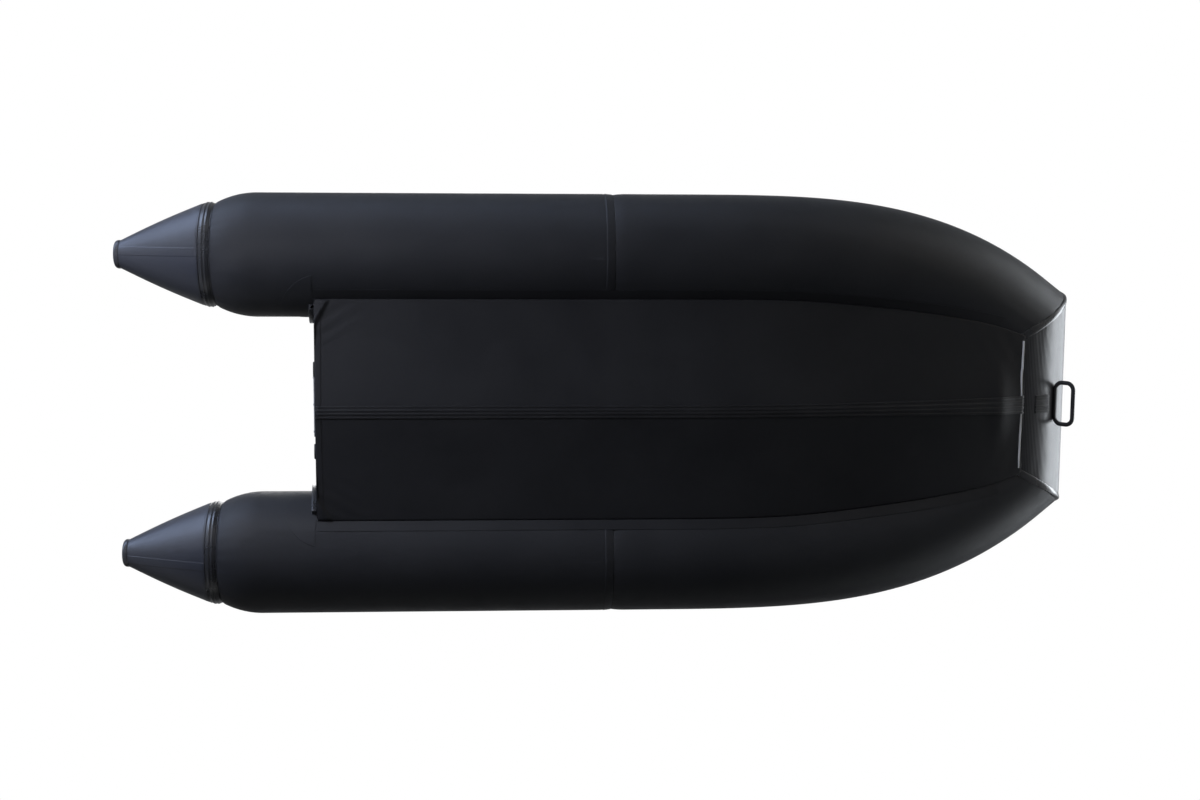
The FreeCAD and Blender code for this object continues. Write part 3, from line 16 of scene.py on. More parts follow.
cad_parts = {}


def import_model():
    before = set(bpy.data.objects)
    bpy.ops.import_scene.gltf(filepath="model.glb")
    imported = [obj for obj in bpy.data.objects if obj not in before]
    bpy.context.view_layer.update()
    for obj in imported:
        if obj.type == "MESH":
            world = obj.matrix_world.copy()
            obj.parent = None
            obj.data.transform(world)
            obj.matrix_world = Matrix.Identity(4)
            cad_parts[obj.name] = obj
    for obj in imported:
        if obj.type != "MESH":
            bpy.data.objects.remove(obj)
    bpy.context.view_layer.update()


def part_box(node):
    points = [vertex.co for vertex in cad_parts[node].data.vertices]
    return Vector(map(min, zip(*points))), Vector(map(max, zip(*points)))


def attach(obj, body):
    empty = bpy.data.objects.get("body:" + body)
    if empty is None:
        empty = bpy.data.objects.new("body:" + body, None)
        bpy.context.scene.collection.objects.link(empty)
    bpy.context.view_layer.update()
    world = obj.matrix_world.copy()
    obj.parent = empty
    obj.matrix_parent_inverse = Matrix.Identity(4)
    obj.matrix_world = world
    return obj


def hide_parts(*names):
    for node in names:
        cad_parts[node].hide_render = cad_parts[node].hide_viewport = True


LOG = logging.getLogger("inflatable_boat")
HULL_BODY = "hull"
TUBE_SIDES = 168
MITRE_LOBES, MITRE_PUCKER, MITRE_PUCKER_FADE = 26, 0.0009, 0.05
MITRE_DRAW, MITRE_DRAW_FADE = 0.002, 0.012
PUCKER_SPREADS, PUCKER_SUM = range(-3, 4), 2.6
MERGE_DISTANCE, FLAT_ANGLE = 0.00002, math.radians(0.6)
EASED_ANGLE, SHARP_ANGLE = math.radians(40), math.radians(38)
BEAD_SIDES, SCREW_DOME = 14, 0.45
PATCH_SHARE, SPECK_SHARE = 0.75, 0.25
SPECK_RATIO, GLOSS_RATIO = 34.0, 2.3
SOFT_CELLS, SOFT_DEPTH = 26.0, 0.0006
THREAD_DISTORTION = 0.4
Array = np.ndarray
Piece = bpy.types.Object
Socket = bpy.types.NodeSocket
Pair = tuple[float, float]
Triple = tuple[float, float, float]


class Side(Enum):
    """The two sides of the boat, with the sign of Y on each."""

    PORT = 1
    STARBOARD = -1

    @property
    def word(self) -> str:
        """The side's name as the nodes use it."""
        return self.name.lower()


class Grain(Enum):
    """How a finish's fine relief runs."""

    WEAVE = "crossing threads of a coated fabric"
    RIBS = "fine ribs along the piece"
    PEBBLE = "irregular moulded grain"
    PLY = "long wood grain under paint"
    BRUSHED = "drawn metal"


# Stretch along the piece, layers and roughness of the noise behind a grain.
GRAIN_NOISE = {Grain.PEBBLE: (1.0, 2.0, 0.6), Grain.PLY: (0.08, 4.0, 0.6), Grain.BRUSHED: (0.02, 2.0, 0.5)}


# Finishes
class NodeSheet:
    """Lays out the nodes of a tree."""

    def __init__(self, tree: bpy.types.NodeTree) -> None:
        """Start from an emptied tree."""
        self.tree = tree
        self.tree.nodes.clear()

    def add(self, kind: str, values: dict | None = None, **settings: object) -> bpy.types.Node:
        """Add a node.

        Args:
            kind: Blender's name of the node type.
            values: plain values, or sockets to link, of its inputs.
            settings: properties to set on it.

        Returns:
            The new node.
        """
        made = self.tree.nodes.new(kind)
        for key, setting in settings.items():
            setattr(made, key, setting)
        for key, given in (values or {}).items():
            if isinstance(given, Socket):
                self.tree.links.new(given, made.inputs[key])
            else:
                made.inputs[key].default_value = given
        return made


class ShadeSheet(NodeSheet):
    """Nodes of a material or of the surroundings."""

    def noise(self, where: Socket, scale: float, detail: float = 3.0, roughness: float = 0.55) -> Socket:
        """Noise pattern of about 0 to 1, with so many cells to the metre and so many finer layers."""
        values = {"Vector": where, "Scale": scale, "Detail": detail, "Roughness": roughness}
        return self.add("ShaderNodeTexNoise", values).outputs["Fac"]

    def ranged(self, source: Socket, low: float, high: float, start: float = 0.3, stop: float = 0.7,
               **settings: object) -> Socket:
        """A pattern mapped from start..stop to low..high."""
        values = {"Value": source, "From Min": start, "From Max": stop, "To Min": low, "To Max": high}
        return self.add("ShaderNodeMapRange", values, **settings).outputs["Result"]

    def combined(self, first: Socket, second: Socket, operation: str) -> Socket:
        """Two values combined by a maths operation."""
        return self.add("ShaderNodeMath", {0: first, 1: second}, operation=operation).outputs["Value"]

    def mixed(self, factor: Socket, first: Socket, second: Socket) -> Socket:
        """Two shaders mixed by a factor."""
        return self.add("ShaderNodeMixShader", {0: factor, 1: first, 2: second}).outputs["Shader"]

    def relief(self, height: Socket, depth: float, below: Socket | None = None) -> Socket:
        """Normal that is bumped by a height pattern.

        Args:
            height: pattern of heights, 0 to 1.
            depth: real depth of the relief, in metres.
            below: normal of a coarser relief under it.

        Returns:
            The bumped normal.
        """
        values = {"Strength": 1.0, "Distance": depth, "Height": height}
        if below is not None:
            values["Normal"] = below
        return self.add("ShaderNodeBump", values).outputs["Normal"]

    def stepped(self, direction: Triple, edge: Pair) -> Socket:
        """Smooth step over the surroundings.

        Args:
            direction: direction in which the step rises.
            edge: parts of the direction at which the step is 0 and 1.

        Returns:
            The value, 0 to 1.
        """
        place = self.add("ShaderNodeTexCoord").outputs["Generated"]
        along = self.add("ShaderNodeVectorMath", {0: place, 1: direction}, operation="DOT_PRODUCT")
        return self.ranged(along.outputs["Value"], 0.0, 1.0, *edge, interpolation_type="SMOOTHSTEP")

    def glow(self, colour: Triple, strength: float) -> Socket:
        """Plain light of one colour and strength from the surroundings."""
        values = {"Color": (*colour, 1.0), "Strength": strength}
        return self.add("ShaderNodeBackground", values).outputs["Background"]


class MaterialSheet(ShadeSheet):
    """Nodes of one material."""

    def __init__(self, name: str) -> None:
        """Start an empty material.

        Args:
            name: name of the material.
        """
        self.material = bpy.data.materials.new(name)
        self.material.use_nodes = True
        super().__init__(self.material.node_tree)

    def close(self, shader: Socket) -> bpy.types.Material:
        """End the material with its shader, and return it."""
        self.add("ShaderNodeOutputMaterial", {"Surface": shader})
        return self.material


@dataclass(frozen=True)
class Finish:
    """One finish of the boat: its colours, gloss and fine relief."""

    name: str
    slot: str
    colour: Triple
    worn: Triple
    roughness: float
    grain: Grain
    pitch: float = 0.0012
    depth: float = 0.00012
    gloss_spread: float = 0.08
    metallic: float = 0.0
    specular: float = 0.5
    mottle: float = 5.0

    def build(self) -> bpy.types.Material:
        """Make the material, or return the one already made."""
        found = bpy.data.materials.get(self.name)
        if found is not None:
            return found
        sheet = MaterialSheet(self.name)
        place = sheet.add("ShaderNodeTexCoord").outputs
        where = place["Object"]
        patches = sheet.ranged(sheet.noise(where, self.mottle, 4.0), 0.0, PATCH_SHARE)
        specks = sheet.ranged(sheet.noise(where, self.mottle * SPECK_RATIO, 2.0, 0.7), 0.0, SPECK_SHARE)
        tone = sheet.add("ShaderNodeMix", {
            "Factor": sheet.combined(patches, specks, "ADD"),
            "A": (*self.colour, 1.0), "B": (*self.worn, 1.0)}, data_type="RGBA")
        gloss = sheet.ranged(sheet.noise(where, self.mottle * GLOSS_RATIO, 5.0, 0.62),
                             self.roughness - self.gloss_spread, self.roughness + self.gloss_spread)
        soft = sheet.relief(sheet.noise(where, SOFT_CELLS, 2.0), SOFT_DEPTH)
        cloth = place["UV"] if self.grain in (Grain.WEAVE, Grain.RIBS) else where
        surface = sheet.add("ShaderNodeBsdfPrincipled", {
            "Base Color": tone.outputs["Result"], "Roughness": gloss, "Metallic": self.metallic,
            "Specular IOR Level": self.specular,
            "Normal": sheet.relief(self.fine_height(sheet, cloth), self.depth, soft)})
        return sheet.close(surface.outputs["BSDF"])

    def fine_height(self, sheet: MaterialSheet, where: Socket) -> Socket:
        """Lay out the fine relief.

        Args:
            sheet: sheet of the material being made.
            where: UV or object coordinates, in metres.

        Returns:
            Heights from 0 to 1.
        """
        cells = 1.0 / self.pitch
        if self.grain in GRAIN_NOISE:
            stretch, layers, roughness = GRAIN_NOISE[self.grain]
            drawn = sheet.add("ShaderNodeMapping", {"Vector": where, "Scale": (stretch, 1.0, 1.0)})
            return sheet.noise(drawn.outputs["Vector"], cells, layers, roughness)
        values = {"Vector": where, "Scale": cells * math.pi / 10.0, "Distortion": THREAD_DISTORTION}
        along, around = (sheet.add("ShaderNodeTexWave", values, wave_type="BANDS", bands_direction=way)
                         for way in ("X", "Y"))
        if self.grain is Grain.RIBS:
            return around.outputs["Fac"]
        return sheet.combined(along.outputs["Fac"], around.outputs["Fac"], "MULTIPLY")


TUBE_FABRIC = Finish("tube_fabric_coated", "tube_fabric", (0.021, 0.022, 0.025), (0.027, 0.028, 0.031), 0.50,
                     Grain.WEAVE, specular=0.35, mottle=2.6)
BOW_FABRIC = Finish("bow_fabric_coated", "tube_fabric", (0.018, 0.019, 0.022), (0.024, 0.025, 0.028), 0.32,
                    Grain.RIBS, pitch=0.0065, depth=0.0005, gloss_spread=0.04, specular=1.0, mottle=2.6)
CONE_FABRIC = Finish("cone_fabric_coated", "cone_fabric", (0.025, 0.028, 0.038), (0.031, 0.035, 0.046), 0.37,
                     Grain.WEAVE, gloss_spread=0.05, specular=0.85, mottle=4.0)
CONE_TIP = Finish("cone_tip_moulded", "moulded_rubber", (0.026, 0.0275, 0.034), (0.034, 0.035, 0.042), 0.36,
                  Grain.PEBBLE, pitch=0.002, depth=0.00008, specular=0.8)
BOTTOM_FABRIC = Finish("bottom_fabric_coated", "bottom_fabric", (0.017, 0.0175, 0.0195),
                       (0.022, 0.0225, 0.0245), 0.50, Grain.WEAVE, specular=0.35, mottle=2.2)
RUBBER = Finish("moulded_rubber_black", "moulded_rubber", (0.010, 0.010, 0.011), (0.02, 0.02, 0.021), 0.5,
                Grain.PEBBLE, pitch=0.002, depth=0.0001)
GUARD = Finish("guard_rubber_black", "moulded_rubber", (0.015, 0.0155, 0.017), (0.024, 0.0245, 0.026), 0.34,
               Grain.PEBBLE, pitch=0.002, depth=0.00006, gloss_spread=0.05, specular=0.9)
WELT = Finish("welt_rubber_black", "moulded_rubber", (0.02, 0.021, 0.023), (0.03, 0.031, 0.034), 0.28,
              Grain.PEBBLE, pitch=0.002, depth=0.00008, gloss_spread=0.05, specular=1.0)
# Pale colour of the front-edge trim: partly the trim's own colour, partly a painted highlight along its
# rounded edge.
PALE_TRIM_AND_HIGHLIGHT = Finish("edge_trim_pale", "moulded_rubber", (0.68, 0.69, 0.71), (0.78, 0.79, 0.81), 0.32,
                   Grain.PEBBLE, pitch=0.003, depth=0.00004, gloss_spread=0.05)
BLACK_PLASTIC = Finish("moulded_plastic_black", "black_plastic", (0.012, 0.012, 0.013), (0.022, 0.022, 0.023),
                       0.42, Grain.PEBBLE, depth=0.00008)
GREY_PLASTIC = Finish("moulded_plastic_grey", "grey_plastic", (0.11, 0.115, 0.12), (0.15, 0.155, 0.16), 0.45,
                      Grain.PEBBLE, depth=0.00008)
TRANSOM_PAINT = Finish("transom_painted_ply", "transom_wood", (0.012, 0.0125, 0.0135), (0.022, 0.0225, 0.024),
                       0.42, Grain.PLY, pitch=0.006, depth=0.0002)
FLOOR_PAINT = Finish("floor_sealed_ply", "floor_wood", (0.16, 0.165, 0.17), (0.21, 0.215, 0.22), 0.62,
                     Grain.PEBBLE, pitch=0.0035, depth=0.0005, mottle=6.0)
SEAT_PAINT = Finish("seat_painted_ply", "seat_wood", (0.2, 0.205, 0.21), (0.25, 0.255, 0.26), 0.45,
                    Grain.PLY, pitch=0.007, depth=0.00025, mottle=6.0)
ANODISED = Finish("floor_joint_metal", "floor_metal", (0.55, 0.56, 0.57), (0.62, 0.63, 0.64), 0.34,
                  Grain.BRUSHED, pitch=0.0008, depth=0.00005, metallic=1.0)


# Lines of the hull
@dataclass(frozen=True)
class HullLines:
    """Reference lines of the hull, in metres and degrees."""

    tube_radius: float = 0.228
    beam: float = 1.570
    corner_spacing: float = 0.580
    curve_length: float = 1.310
    curve_power: float = 3.5
    sheer_rise: float = 0.190
    straight_length: float = 1.543
    seam_distance: float = 0.242
    seam_waist: float = 0.004
    seam_waist_length: float = 0.050
    cap_length: float = 0.022
    cone_length: float = 0.305
    cone_tip_radius: float = 0.052
    cone_root_radius: float = 0.189
    band_width: float = 0.042
    shoulder_length: float = 0.150
    transom_distance: float = 0.236
    transom_thickness: float = 0.030
    bond_gap: float = 0.0004
    bottom_angle: float = 41.0
    bottom_angle_fade: float = 0.435
    keel_depth: float = 0.045
    keel_fade_start: float = 0.49
    bottom_thickness: float = 0.004
    bottom_front_angle: float = 4.0
    bottom_front_half: float = 0.260
    last_side_share: float = 0.91

    @property
    def stern(self) -> float:
        """Place of the cones' tips."""
        stern_length = self.cap_length + self.cone_length + self.band_width + self.shoulder_length
        return -(stern_length + self.straight_length + self.curve_length + self.tube_radius) / 2

    @property
    def band_start(self) -> float:
        """Place of the cone's root."""
        return self.stern + self.cap_length + self.cone_length

    @property
    def band_end(self) -> float:
        """Place where the shoulder starts."""
        return self.band_start + self.band_width

    @property
    def shoulder_end(self) -> float:
        """Place where the tube has its full size."""
        return self.band_end + self.shoulder_length

    @property
    def curve_start(self) -> float:
        """Place where the side tubes start to curve in."""
        return self.shoulder_end + self.straight_length

    @property
    def bow_axis(self) -> float:
        """Place of the bow tube's axis."""
        return self.curve_start + self.curve_length

    @property
    def bow_height(self) -> float:
        """Height of the bow tube's axis."""
        return self.tube_radius + self.sheer_rise

    @property
    def seam(self) -> float:
        """Place of the seam between the aft and fore chambers."""
        return self.curve_start - self.seam_distance

    @property
    def half_gauge(self) -> float:
        """Distance of a side tube's axis from the middle plane."""
        return (self.beam - 2 * self.tube_radius) / 2

    @property
    def transom(self) -> float:
        """Place of the transom's lower edge."""
        return self.shoulder_end + self.transom_distance

    def share_at(self, x: Array | float) -> Array:
        """Share of the bow curve at a place along the boat, below 0 on the straight part."""
        return (np.asarray(x, float) - self.curve_start) / self.curve_length

    def frames(self, share: Array, side: Side) -> tuple[Array, Array, Array, Array]:
        """Moving frame of a side tube's axis.

        Args:
            share: shares of the bow curve; past 1 the axis runs on straight.
            side: side of the boat.

        Returns:
            Centres and the ahead, inboard and upward directions, each with one row for a share.
        """
        share = np.asarray(share, float).ravel()
        bent = np.clip(share, 0.0, 1.0)
        toe_in = self.half_gauge - self.corner_spacing / 2
        sign = float(side.value)
        yaw = np.arctan(self.curve_power * toe_in * bent ** (self.curve_power - 1) / self.curve_length)
        pitch = np.arctan(2 * self.sheer_rise * bent / self.curve_length * np.cos(yaw))
        level, climb = np.cos(pitch), np.sin(pitch)
        centre = np.stack([
            self.curve_start + np.minimum(share, 1.0) * self.curve_length,
            sign * (self.half_gauge - toe_in * bent ** self.curve_power),
            self.tube_radius + self.sheer_rise * bent ** 2], axis=1)
        ahead = np.stack([np.cos(yaw) * level, -sign * np.sin(yaw) * level, climb], axis=1)
        inboard = np.stack([-np.sin(yaw), -sign * np.cos(yaw), np.zeros_like(yaw)], axis=1)
        upward = np.stack([-np.cos(yaw) * climb, sign * np.sin(yaw) * climb, level], axis=1)
        centre += ahead * (np.maximum(share - 1.0, 0.0) * self.curve_length)[:, None]
        return centre, ahead, inboard, upward

    def around(self, share: Array, side: Side, reach: Array | float, angle: Array) -> Array:
        """Points about a side tube's axis.

        Args:
            share: shares of the bow curve.
            side: side of the boat.
            reach: distances from the axis.
            angle: angles inboard of straight down, in radians.

        Returns:
            Points in the shape of share, with a last axis of three.
        """
        share, reach, angle = np.broadcast_arrays(np.asarray(share, float), reach, angle)
        centre, _, inboard, upward = self.frames(share, side)
        radial = inboard * np.sin(angle).ravel()[:, None] - upward * np.cos(angle).ravel()[:, None]
        return (centre + radial * reach.ravel()[:, None]).reshape(share.shape + (3,))

    def mitre_normal(self, side: Side) -> Array:
        """Direction square to a corner's mitre plane.

        Args:
            side: side of the boat.

        Returns:
            The direction, of length 1.
        """
        _, ahead, _, _ = self.frames(np.array([1.0]), side)
        normal = ahead[0] + np.array([0.0, -float(side.value), 0.0])
        return normal / np.linalg.norm(normal)

    def mitre_share(self, side: Side, angle: Array) -> Array:
        """Share at which each line along a side tube meets the mitre plane.

        Args:
            side: side of the boat.
            angle: angles of the lines about the axis.

        Returns:
            One share for each angle.
        """
        normal = self.mitre_normal(side)
        corner = np.array([self.bow_axis, side.value * self.corner_spacing / 2, self.bow_height])
        low = np.full(angle.shape, 0.5)
        high = np.full(angle.shape, 1.4)
        for _ in range(40):
            middle = (low + high) / 2
            beyond = (self.around(middle, side, self.tube_radius, angle) - corner) @ normal > 0
            high = np.where(beyond, middle, high)
            low = np.where(beyond, low, middle)
        return (low + high) / 2

    def bow_limit(self, angle: Array) -> Array:
        """Distance from the middle plane at which the bow tube meets its mitre plane.

        Args:
            angle: angles ahead of straight down.

        Returns:
            One distance for each angle.
        """
        normal = self.mitre_normal(Side.PORT)
        ahead = self.tube_radius * np.sin(angle)
        up = -self.tube_radius * np.cos(angle)
        return self.corner_spacing / 2 + (normal[0] * ahead + normal[2] * up) / -normal[1]

    def bow_points(self, across: Array, reach: Array | float, angle: Array) -> Array:
        """Points about the bow tube's axis.

        Args:
            across: distances from the middle plane.
            reach: distances from the axis.
            angle: angles ahead of straight down, in radians.

        Returns:
            Points, with a last axis of three.
        """
        across, reach, angle = np.broadcast_arrays(across, reach, angle)
        x = self.bow_axis + reach * np.sin(angle)
        return np.stack([x, across, self.bow_height - reach * np.cos(angle)], axis=-1)


LINES = HullLines()


# Shape tools
def eased(places: Array, start: float, stop: float) -> Array:
    """Smooth step from 0 before start to 1 past stop."""
    share = np.clip((places - start) / (stop - start), 0.0, 1.0)
    return share * share * (3 - 2 * share)


def bumps(run: Array, centres: Pair, width: float) -> Array:
    """Rounded bumps of height 1 and a given half width at two centres along a run."""
    return sum(np.exp(-((run - centre) / width) ** 2) for centre in centres)


def circle(count: int) -> Array:
    """Even angles around a ring."""
    return np.linspace(0, 2 * math.pi, count, endpoint=False)


def runs(*parts: tuple[float, float, int]) -> Array:
    """Places in even runs, each with its start, its stop and its number of places."""
    return np.concatenate([np.linspace(*part) for part in parts])


def puckers(angle: Array, distance: Array, lobes: int, seed: int, height: float, fade: float) -> Array:
    """Uneven puckers around a ring, which fade away from it.

    Args:
        angle: angles about the axis.
        distance: distances from the ring.
        lobes: rough number of puckers.
        seed: fixed seed, so that each run gives the same.
        height: height of the puckers on the ring.
        fade: distance over which they fade.

    Returns:
        Heights to add to the radius.
    """
    chance = np.random.default_rng(seed)
    total = np.zeros_like(angle)
    for spread in PUCKER_SPREADS:
        count = max(1, lobes + spread * max(1, lobes // 7))
        total += np.sin(count * angle + chance.uniform(0, 2 * math.pi)) * chance.uniform(0.3, 1.0)
    return height * total / PUCKER_SUM * np.exp(-distance / fade)


def at_mitre(angle: Array, distance: Array, seed: int) -> Array:
    """Puckers and draw-in of the fabric at distances from a mitre."""
    drawn_in = MITRE_DRAW * np.exp(-distance / MITRE_DRAW_FADE)
    return puckers(angle, distance, MITRE_LOBES, seed, MITRE_PUCKER, MITRE_PUCKER_FADE) - drawn_in


# Mesh tools
def linked(name: str, data: bpy.types.ID) -> Piece:
    """Put a mesh, lamp or camera in the scene.

    Args:
        name: name of the object.
        data: what the object shows.

    Returns:
        The new object.
    """
    made = bpy.data.objects.new(name, data)
    bpy.context.scene.collection.objects.link(made)
    return made


def finished(piece: Piece, finish: Finish, *nodes: str, body: str = HULL_BODY) -> None:
    """Dress a piece and hand it to the frame.

    Args:
        piece: object to dress.
        finish: its finish.
        nodes: nodes that it stands for.
        body: body that carries it.
    """
    piece.data.materials.clear()
    piece.data.materials.append(finish.build())
    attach(piece, body)
    if nodes:
        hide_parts(*nodes)
    LOG.info("%s: %d faces on %s", piece.name, len(piece.data.polygons), body)


@contextmanager
def edited(mesh: bpy.types.Mesh) -> Iterator[bmesh.types.BMesh]:
    """Open a mesh for edits, and write them back at the end.

    Args:
        mesh: mesh to edit.

    Yields:
        The open mesh.
    """
    shape = bmesh.new()
    shape.from_mesh(mesh)
    yield shape
    shape.to_mesh(mesh)
    shape.free()


def closed_object(name: str, points: Array, faces: list[list[int]], merged: float = 0.0) -> Piece:
    """A smooth closed object with its normals outward.

    Args:
        name: name of the object.
        points: its points.
        faces: its faces, as numbers of points.
        merged: distance below which points become one, or 0.

    Returns:
        The new object.
    """
    mesh = bpy.data.meshes.new(name)
    mesh.from_pydata(points.tolist(), [], faces)
    with edited(mesh) as shape:
        if merged:
            bmesh.ops.remove_doubles(shape, verts=shape.verts, dist=merged)
        bmesh.ops.recalc_face_normals(shape, faces=shape.faces)
    mesh.shade_smooth()
    return linked(name, mesh)


def grid_mesh(name: str, points: Array, lengthwise: Array, girth: Array) -> Piece:
    """A closed skin from rings of points, with flat ends.

    Args:
        name: name of the object.
        points: rings, in the shape rings, points to a ring, three.
        lengthwise: distance along the piece of each point, for its texture.
        girth: distance around the piece of each point, for its texture.

    Returns:
        The new object.
    """
    rings, sides, _ = points.shape
    index = np.arange(rings * sides).reshape(rings, sides)
    following = np.roll(index, -1, axis=1)
    faces = np.stack([index[:-1], following[:-1], following[1:], index[1:]], axis=-1)
    faces = faces.reshape(-1, 4).tolist()
    for end, centre in ((0, rings * sides), (-1, rings * sides + 1)):
        rim = zip(index[end].tolist(), following[end].tolist())
        faces += [[start, stop, centre] for start, stop in rim]
    vertices = np.concatenate([points.reshape(-1, 3), points[[0, -1]].mean(axis=1)])
    made = closed_object(name, vertices, faces)
    texture = np.stack([np.append(line, line[[0, -1]].mean(axis=1))
                        for line in (lengthwise, girth)], axis=1)
    corner_points = np.zeros(len(made.data.loops), dtype=np.int32)
    made.data.loops.foreach_get("vertex_index", corner_points)
    layer = made.data.uv_layers.new(name="Fabric")
    layer.data.foreach_set("uv", texture[corner_points].astype(np.float32).ravel())
    return made


def ring_mesh(name: str, points: Array) -> Piece:
    """A closed ring of sections.

    Args:
        name: name of the object.
        points: sections around the ring, each a closed loop of points.

    Returns:
        The new object.
    """
    index = np.arange(points.shape[0] * points.shape[1]).reshape(points.shape[:2])
    ahead = np.roll(index, -1, axis=0)
    faces = np.stack([index, np.roll(index, -1, axis=1), np.roll(ahead, -1, axis=1), ahead], axis=-1)
    return closed_object(name, points.reshape(-1, 3), faces.reshape(-1, 4).tolist(), merged=0.00001)


def baked(piece: Piece) -> Piece:
    """Turn an object with a modifier into one with the plain mesh.

    Args:
        piece: object with the modifier, which is removed.

    Returns:
        The new object, of the same name.
    """
    name = piece.name
    bpy.context.view_layer.update()
    mesh = bpy.data.meshes.new_from_object(piece.evaluated_get(bpy.context.evaluated_depsgraph_get()))
    piece.modifiers.clear()
    bpy.data.objects.remove(piece)
    return linked(name, mesh)


class GeometryTree(NodeSheet):
    """Geometry nodes that grow a shape on a guide, with a radius and a finish."""

    def __init__(self, name: str) -> None:
        """Start a tree with its sockets.

        Args:
            name: name of the tree.
        """
        super().__init__(bpy.data.node_groups.new(name, "GeometryNodeTree"))
        for title, way, kind in (("Geometry", "INPUT", "Geometry"), ("Radius", "INPUT", "Float"),
                                 ("Finish", "INPUT", "Material"), ("Geometry", "OUTPUT", "Geometry")):
            self.tree.interface.new_socket(title, in_out=way, socket_type=f"NodeSocket{kind}")
        self.given = self.add("NodeGroupInput").outputs

    def close(self, geometry: Socket) -> bpy.types.NodeTree:
        """End the tree with real meshes and their material.

        Args:
            geometry: geometry to hand out.

        Returns:
            The finished tree.
        """
        real = self.add("GeometryNodeRealizeInstances", {"Geometry": geometry})
        smooth = self.add("GeometryNodeSetShadeSmooth", {"Geometry": real.outputs["Geometry"]})
        coated = self.add("GeometryNodeSetMaterial", {
            "Geometry": smooth.outputs["Geometry"], "Material": self.given["Finish"]})
        self.add("NodeGroupOutput", {"Geometry": coated.outputs["Geometry"]})
        return self.tree


def bead_along_line(made: GeometryTree) -> Socket:
    """A round section swept along a guide line.

    Args:
        made: tree to lay it out in.

    Returns:
        Its geometry.
    """
    line = made.add("GeometryNodeMeshToCurve", {"Mesh": made.given["Geometry"]})
    section = made.add("GeometryNodeCurvePrimitiveCircle", {
        "Resolution": BEAD_SIDES, "Radius": made.given["Radius"]})
    swept = made.add("GeometryNodeCurveToMesh", {
        "Curve": line.outputs["Curve"], "Profile Curve": section.outputs["Curve"], "Fill Caps": True})
    return swept.outputs["Mesh"]


def screws_on_points(made: GeometryTree) -> Socket:
    """A domed screw head on each guide point, along the point's stored direction.

    Args:
        made: tree to lay it out in.

    Returns:
        Its geometry.
    """
    head = made.add("GeometryNodeMeshIcoSphere", {"Radius": 1.0, "Subdivisions": 3})
    flat = made.add("GeometryNodeTransform", {
        "Geometry": head.outputs["Mesh"], "Scale": (1.0, 1.0, SCREW_DOME)})
    facing = made.add("GeometryNodeInputNamedAttribute", {"Name": "facing"}, data_type="FLOAT_VECTOR")
    turn = made.add("FunctionNodeAlignRotationToVector", {"Vector": facing.outputs["Attribute"]}, axis="Z")
    size = made.add("ShaderNodeCombineXYZ", dict.fromkeys("XYZ", made.given["Radius"]))
    placed = made.add("GeometryNodeInstanceOnPoints", {
        "Points": made.given["Geometry"], "Instance": flat.outputs["Geometry"],
        "Rotation": turn.outputs["Rotation"], "Scale": size.outputs["Vector"]})
    return placed.outputs["Instances"]


def grown(guide: bpy.types.Mesh, shape: Callable[[GeometryTree], Socket], radius: float,
          finish: Finish) -> None:
    """Grow a piece on its guide by geometry nodes, and keep only its plain mesh.

    Args:
        guide: guide mesh, which has the piece's name.
        shape: function that lays out the nodes; its tree is made once.
        radius: radius of the shape.
        finish: its finish.
    """
    tree = bpy.data.node_groups.get(shape.__name__)
    if tree is None:
        made = GeometryTree(shape.__name__)
        tree = made.close(shape(made))
    piece = linked(guide.name, guide)
    modifier = piece.modifiers.new("Shape", "NODES")
    modifier.node_group = tree
    inputs = {"Radius": radius, "Finish": finish.build()}
    for item in tree.interface.items_tree:
        if item.name in inputs:
            modifier[item.identifier] = inputs[item.name]
    finished(baked(piece), finish)


def bead(name: str, points: Array, radius: float, finish: Finish) -> None:
    """A rounded bead along a line of points.

    Args:
        name: name of the piece.
        points: line of points.
        radius: radius of the bead.
        finish: its finish.
    """
    guide = bpy.data.meshes.new(name)
    guide.from_pydata(points.tolist(), [(step, step + 1) for step in range(len(points) - 1)], [])
    grown(guide, bead_along_line, radius, finish)


def screws(name: str, places: list[Triple], facing: Triple, radius: float) -> None:
    """Metal screw heads, all facing one way.

    Args:
        name: name of the piece.
        places: centre of each head.
        facing: direction that they face.
        radius: radius of a head.
    """
    guide = bpy.data.meshes.new(name)
    guide.from_pydata(places, [], [])
    attribute = guide.attributes.new("facing", "FLOAT_VECTOR", "POINT")
    attribute.data.foreach_set("vector", np.array([facing] * len(places), np.float32).ravel())
    grown(guide, screws_on_points, radius, ANODISED)


def softened(node: str, finish: Finish, edge: float, body: str = HULL_BODY) -> None:
    """A copy of a rigid node with its sharp edges eased, which stands for it.

    Args:
        node: name of the node.
        finish: its finish.
        edge: width of the eased edges.
        body: body that carries it.
    """
    mesh = bpy.data.objects[node].data.copy()
    with edited(mesh) as shape:
        bmesh.ops.remove_doubles(shape, verts=shape.verts, dist=MERGE_DISTANCE)
        bmesh.ops.dissolve_limit(shape, angle_limit=FLAT_ANGLE, verts=shape.verts, edges=shape.edges)
    piece = linked(f"{node}_shape", mesh)
    bevel = piece.modifiers.new("Edges", "BEVEL")
    bevel.width = edge
    bevel.segments = 2
    bevel.limit_method = "ANGLE"
    bevel.angle_limit = EASED_ANGLE
    bevel.use_clamp_overlap = True
    bevel.harden_normals = False
    made = baked(piece)
    made.data.shade_smooth()
    made.data.set_sharp_from_angle(angle=SHARP_ANGLE)
    finished(made, finish, node, body=body)


def dressed(node: str, finish: Finish) -> None:
    """Give a node that keeps its own shape its finish.

    Args:
        node: name of the node.
        finish: its finish.
    """
    piece = bpy.data.objects[node]
    piece.data.materials.clear()
    piece.data.materials.append(finish.build())
    LOG.info("%s: kept, %s", node, finish.name)


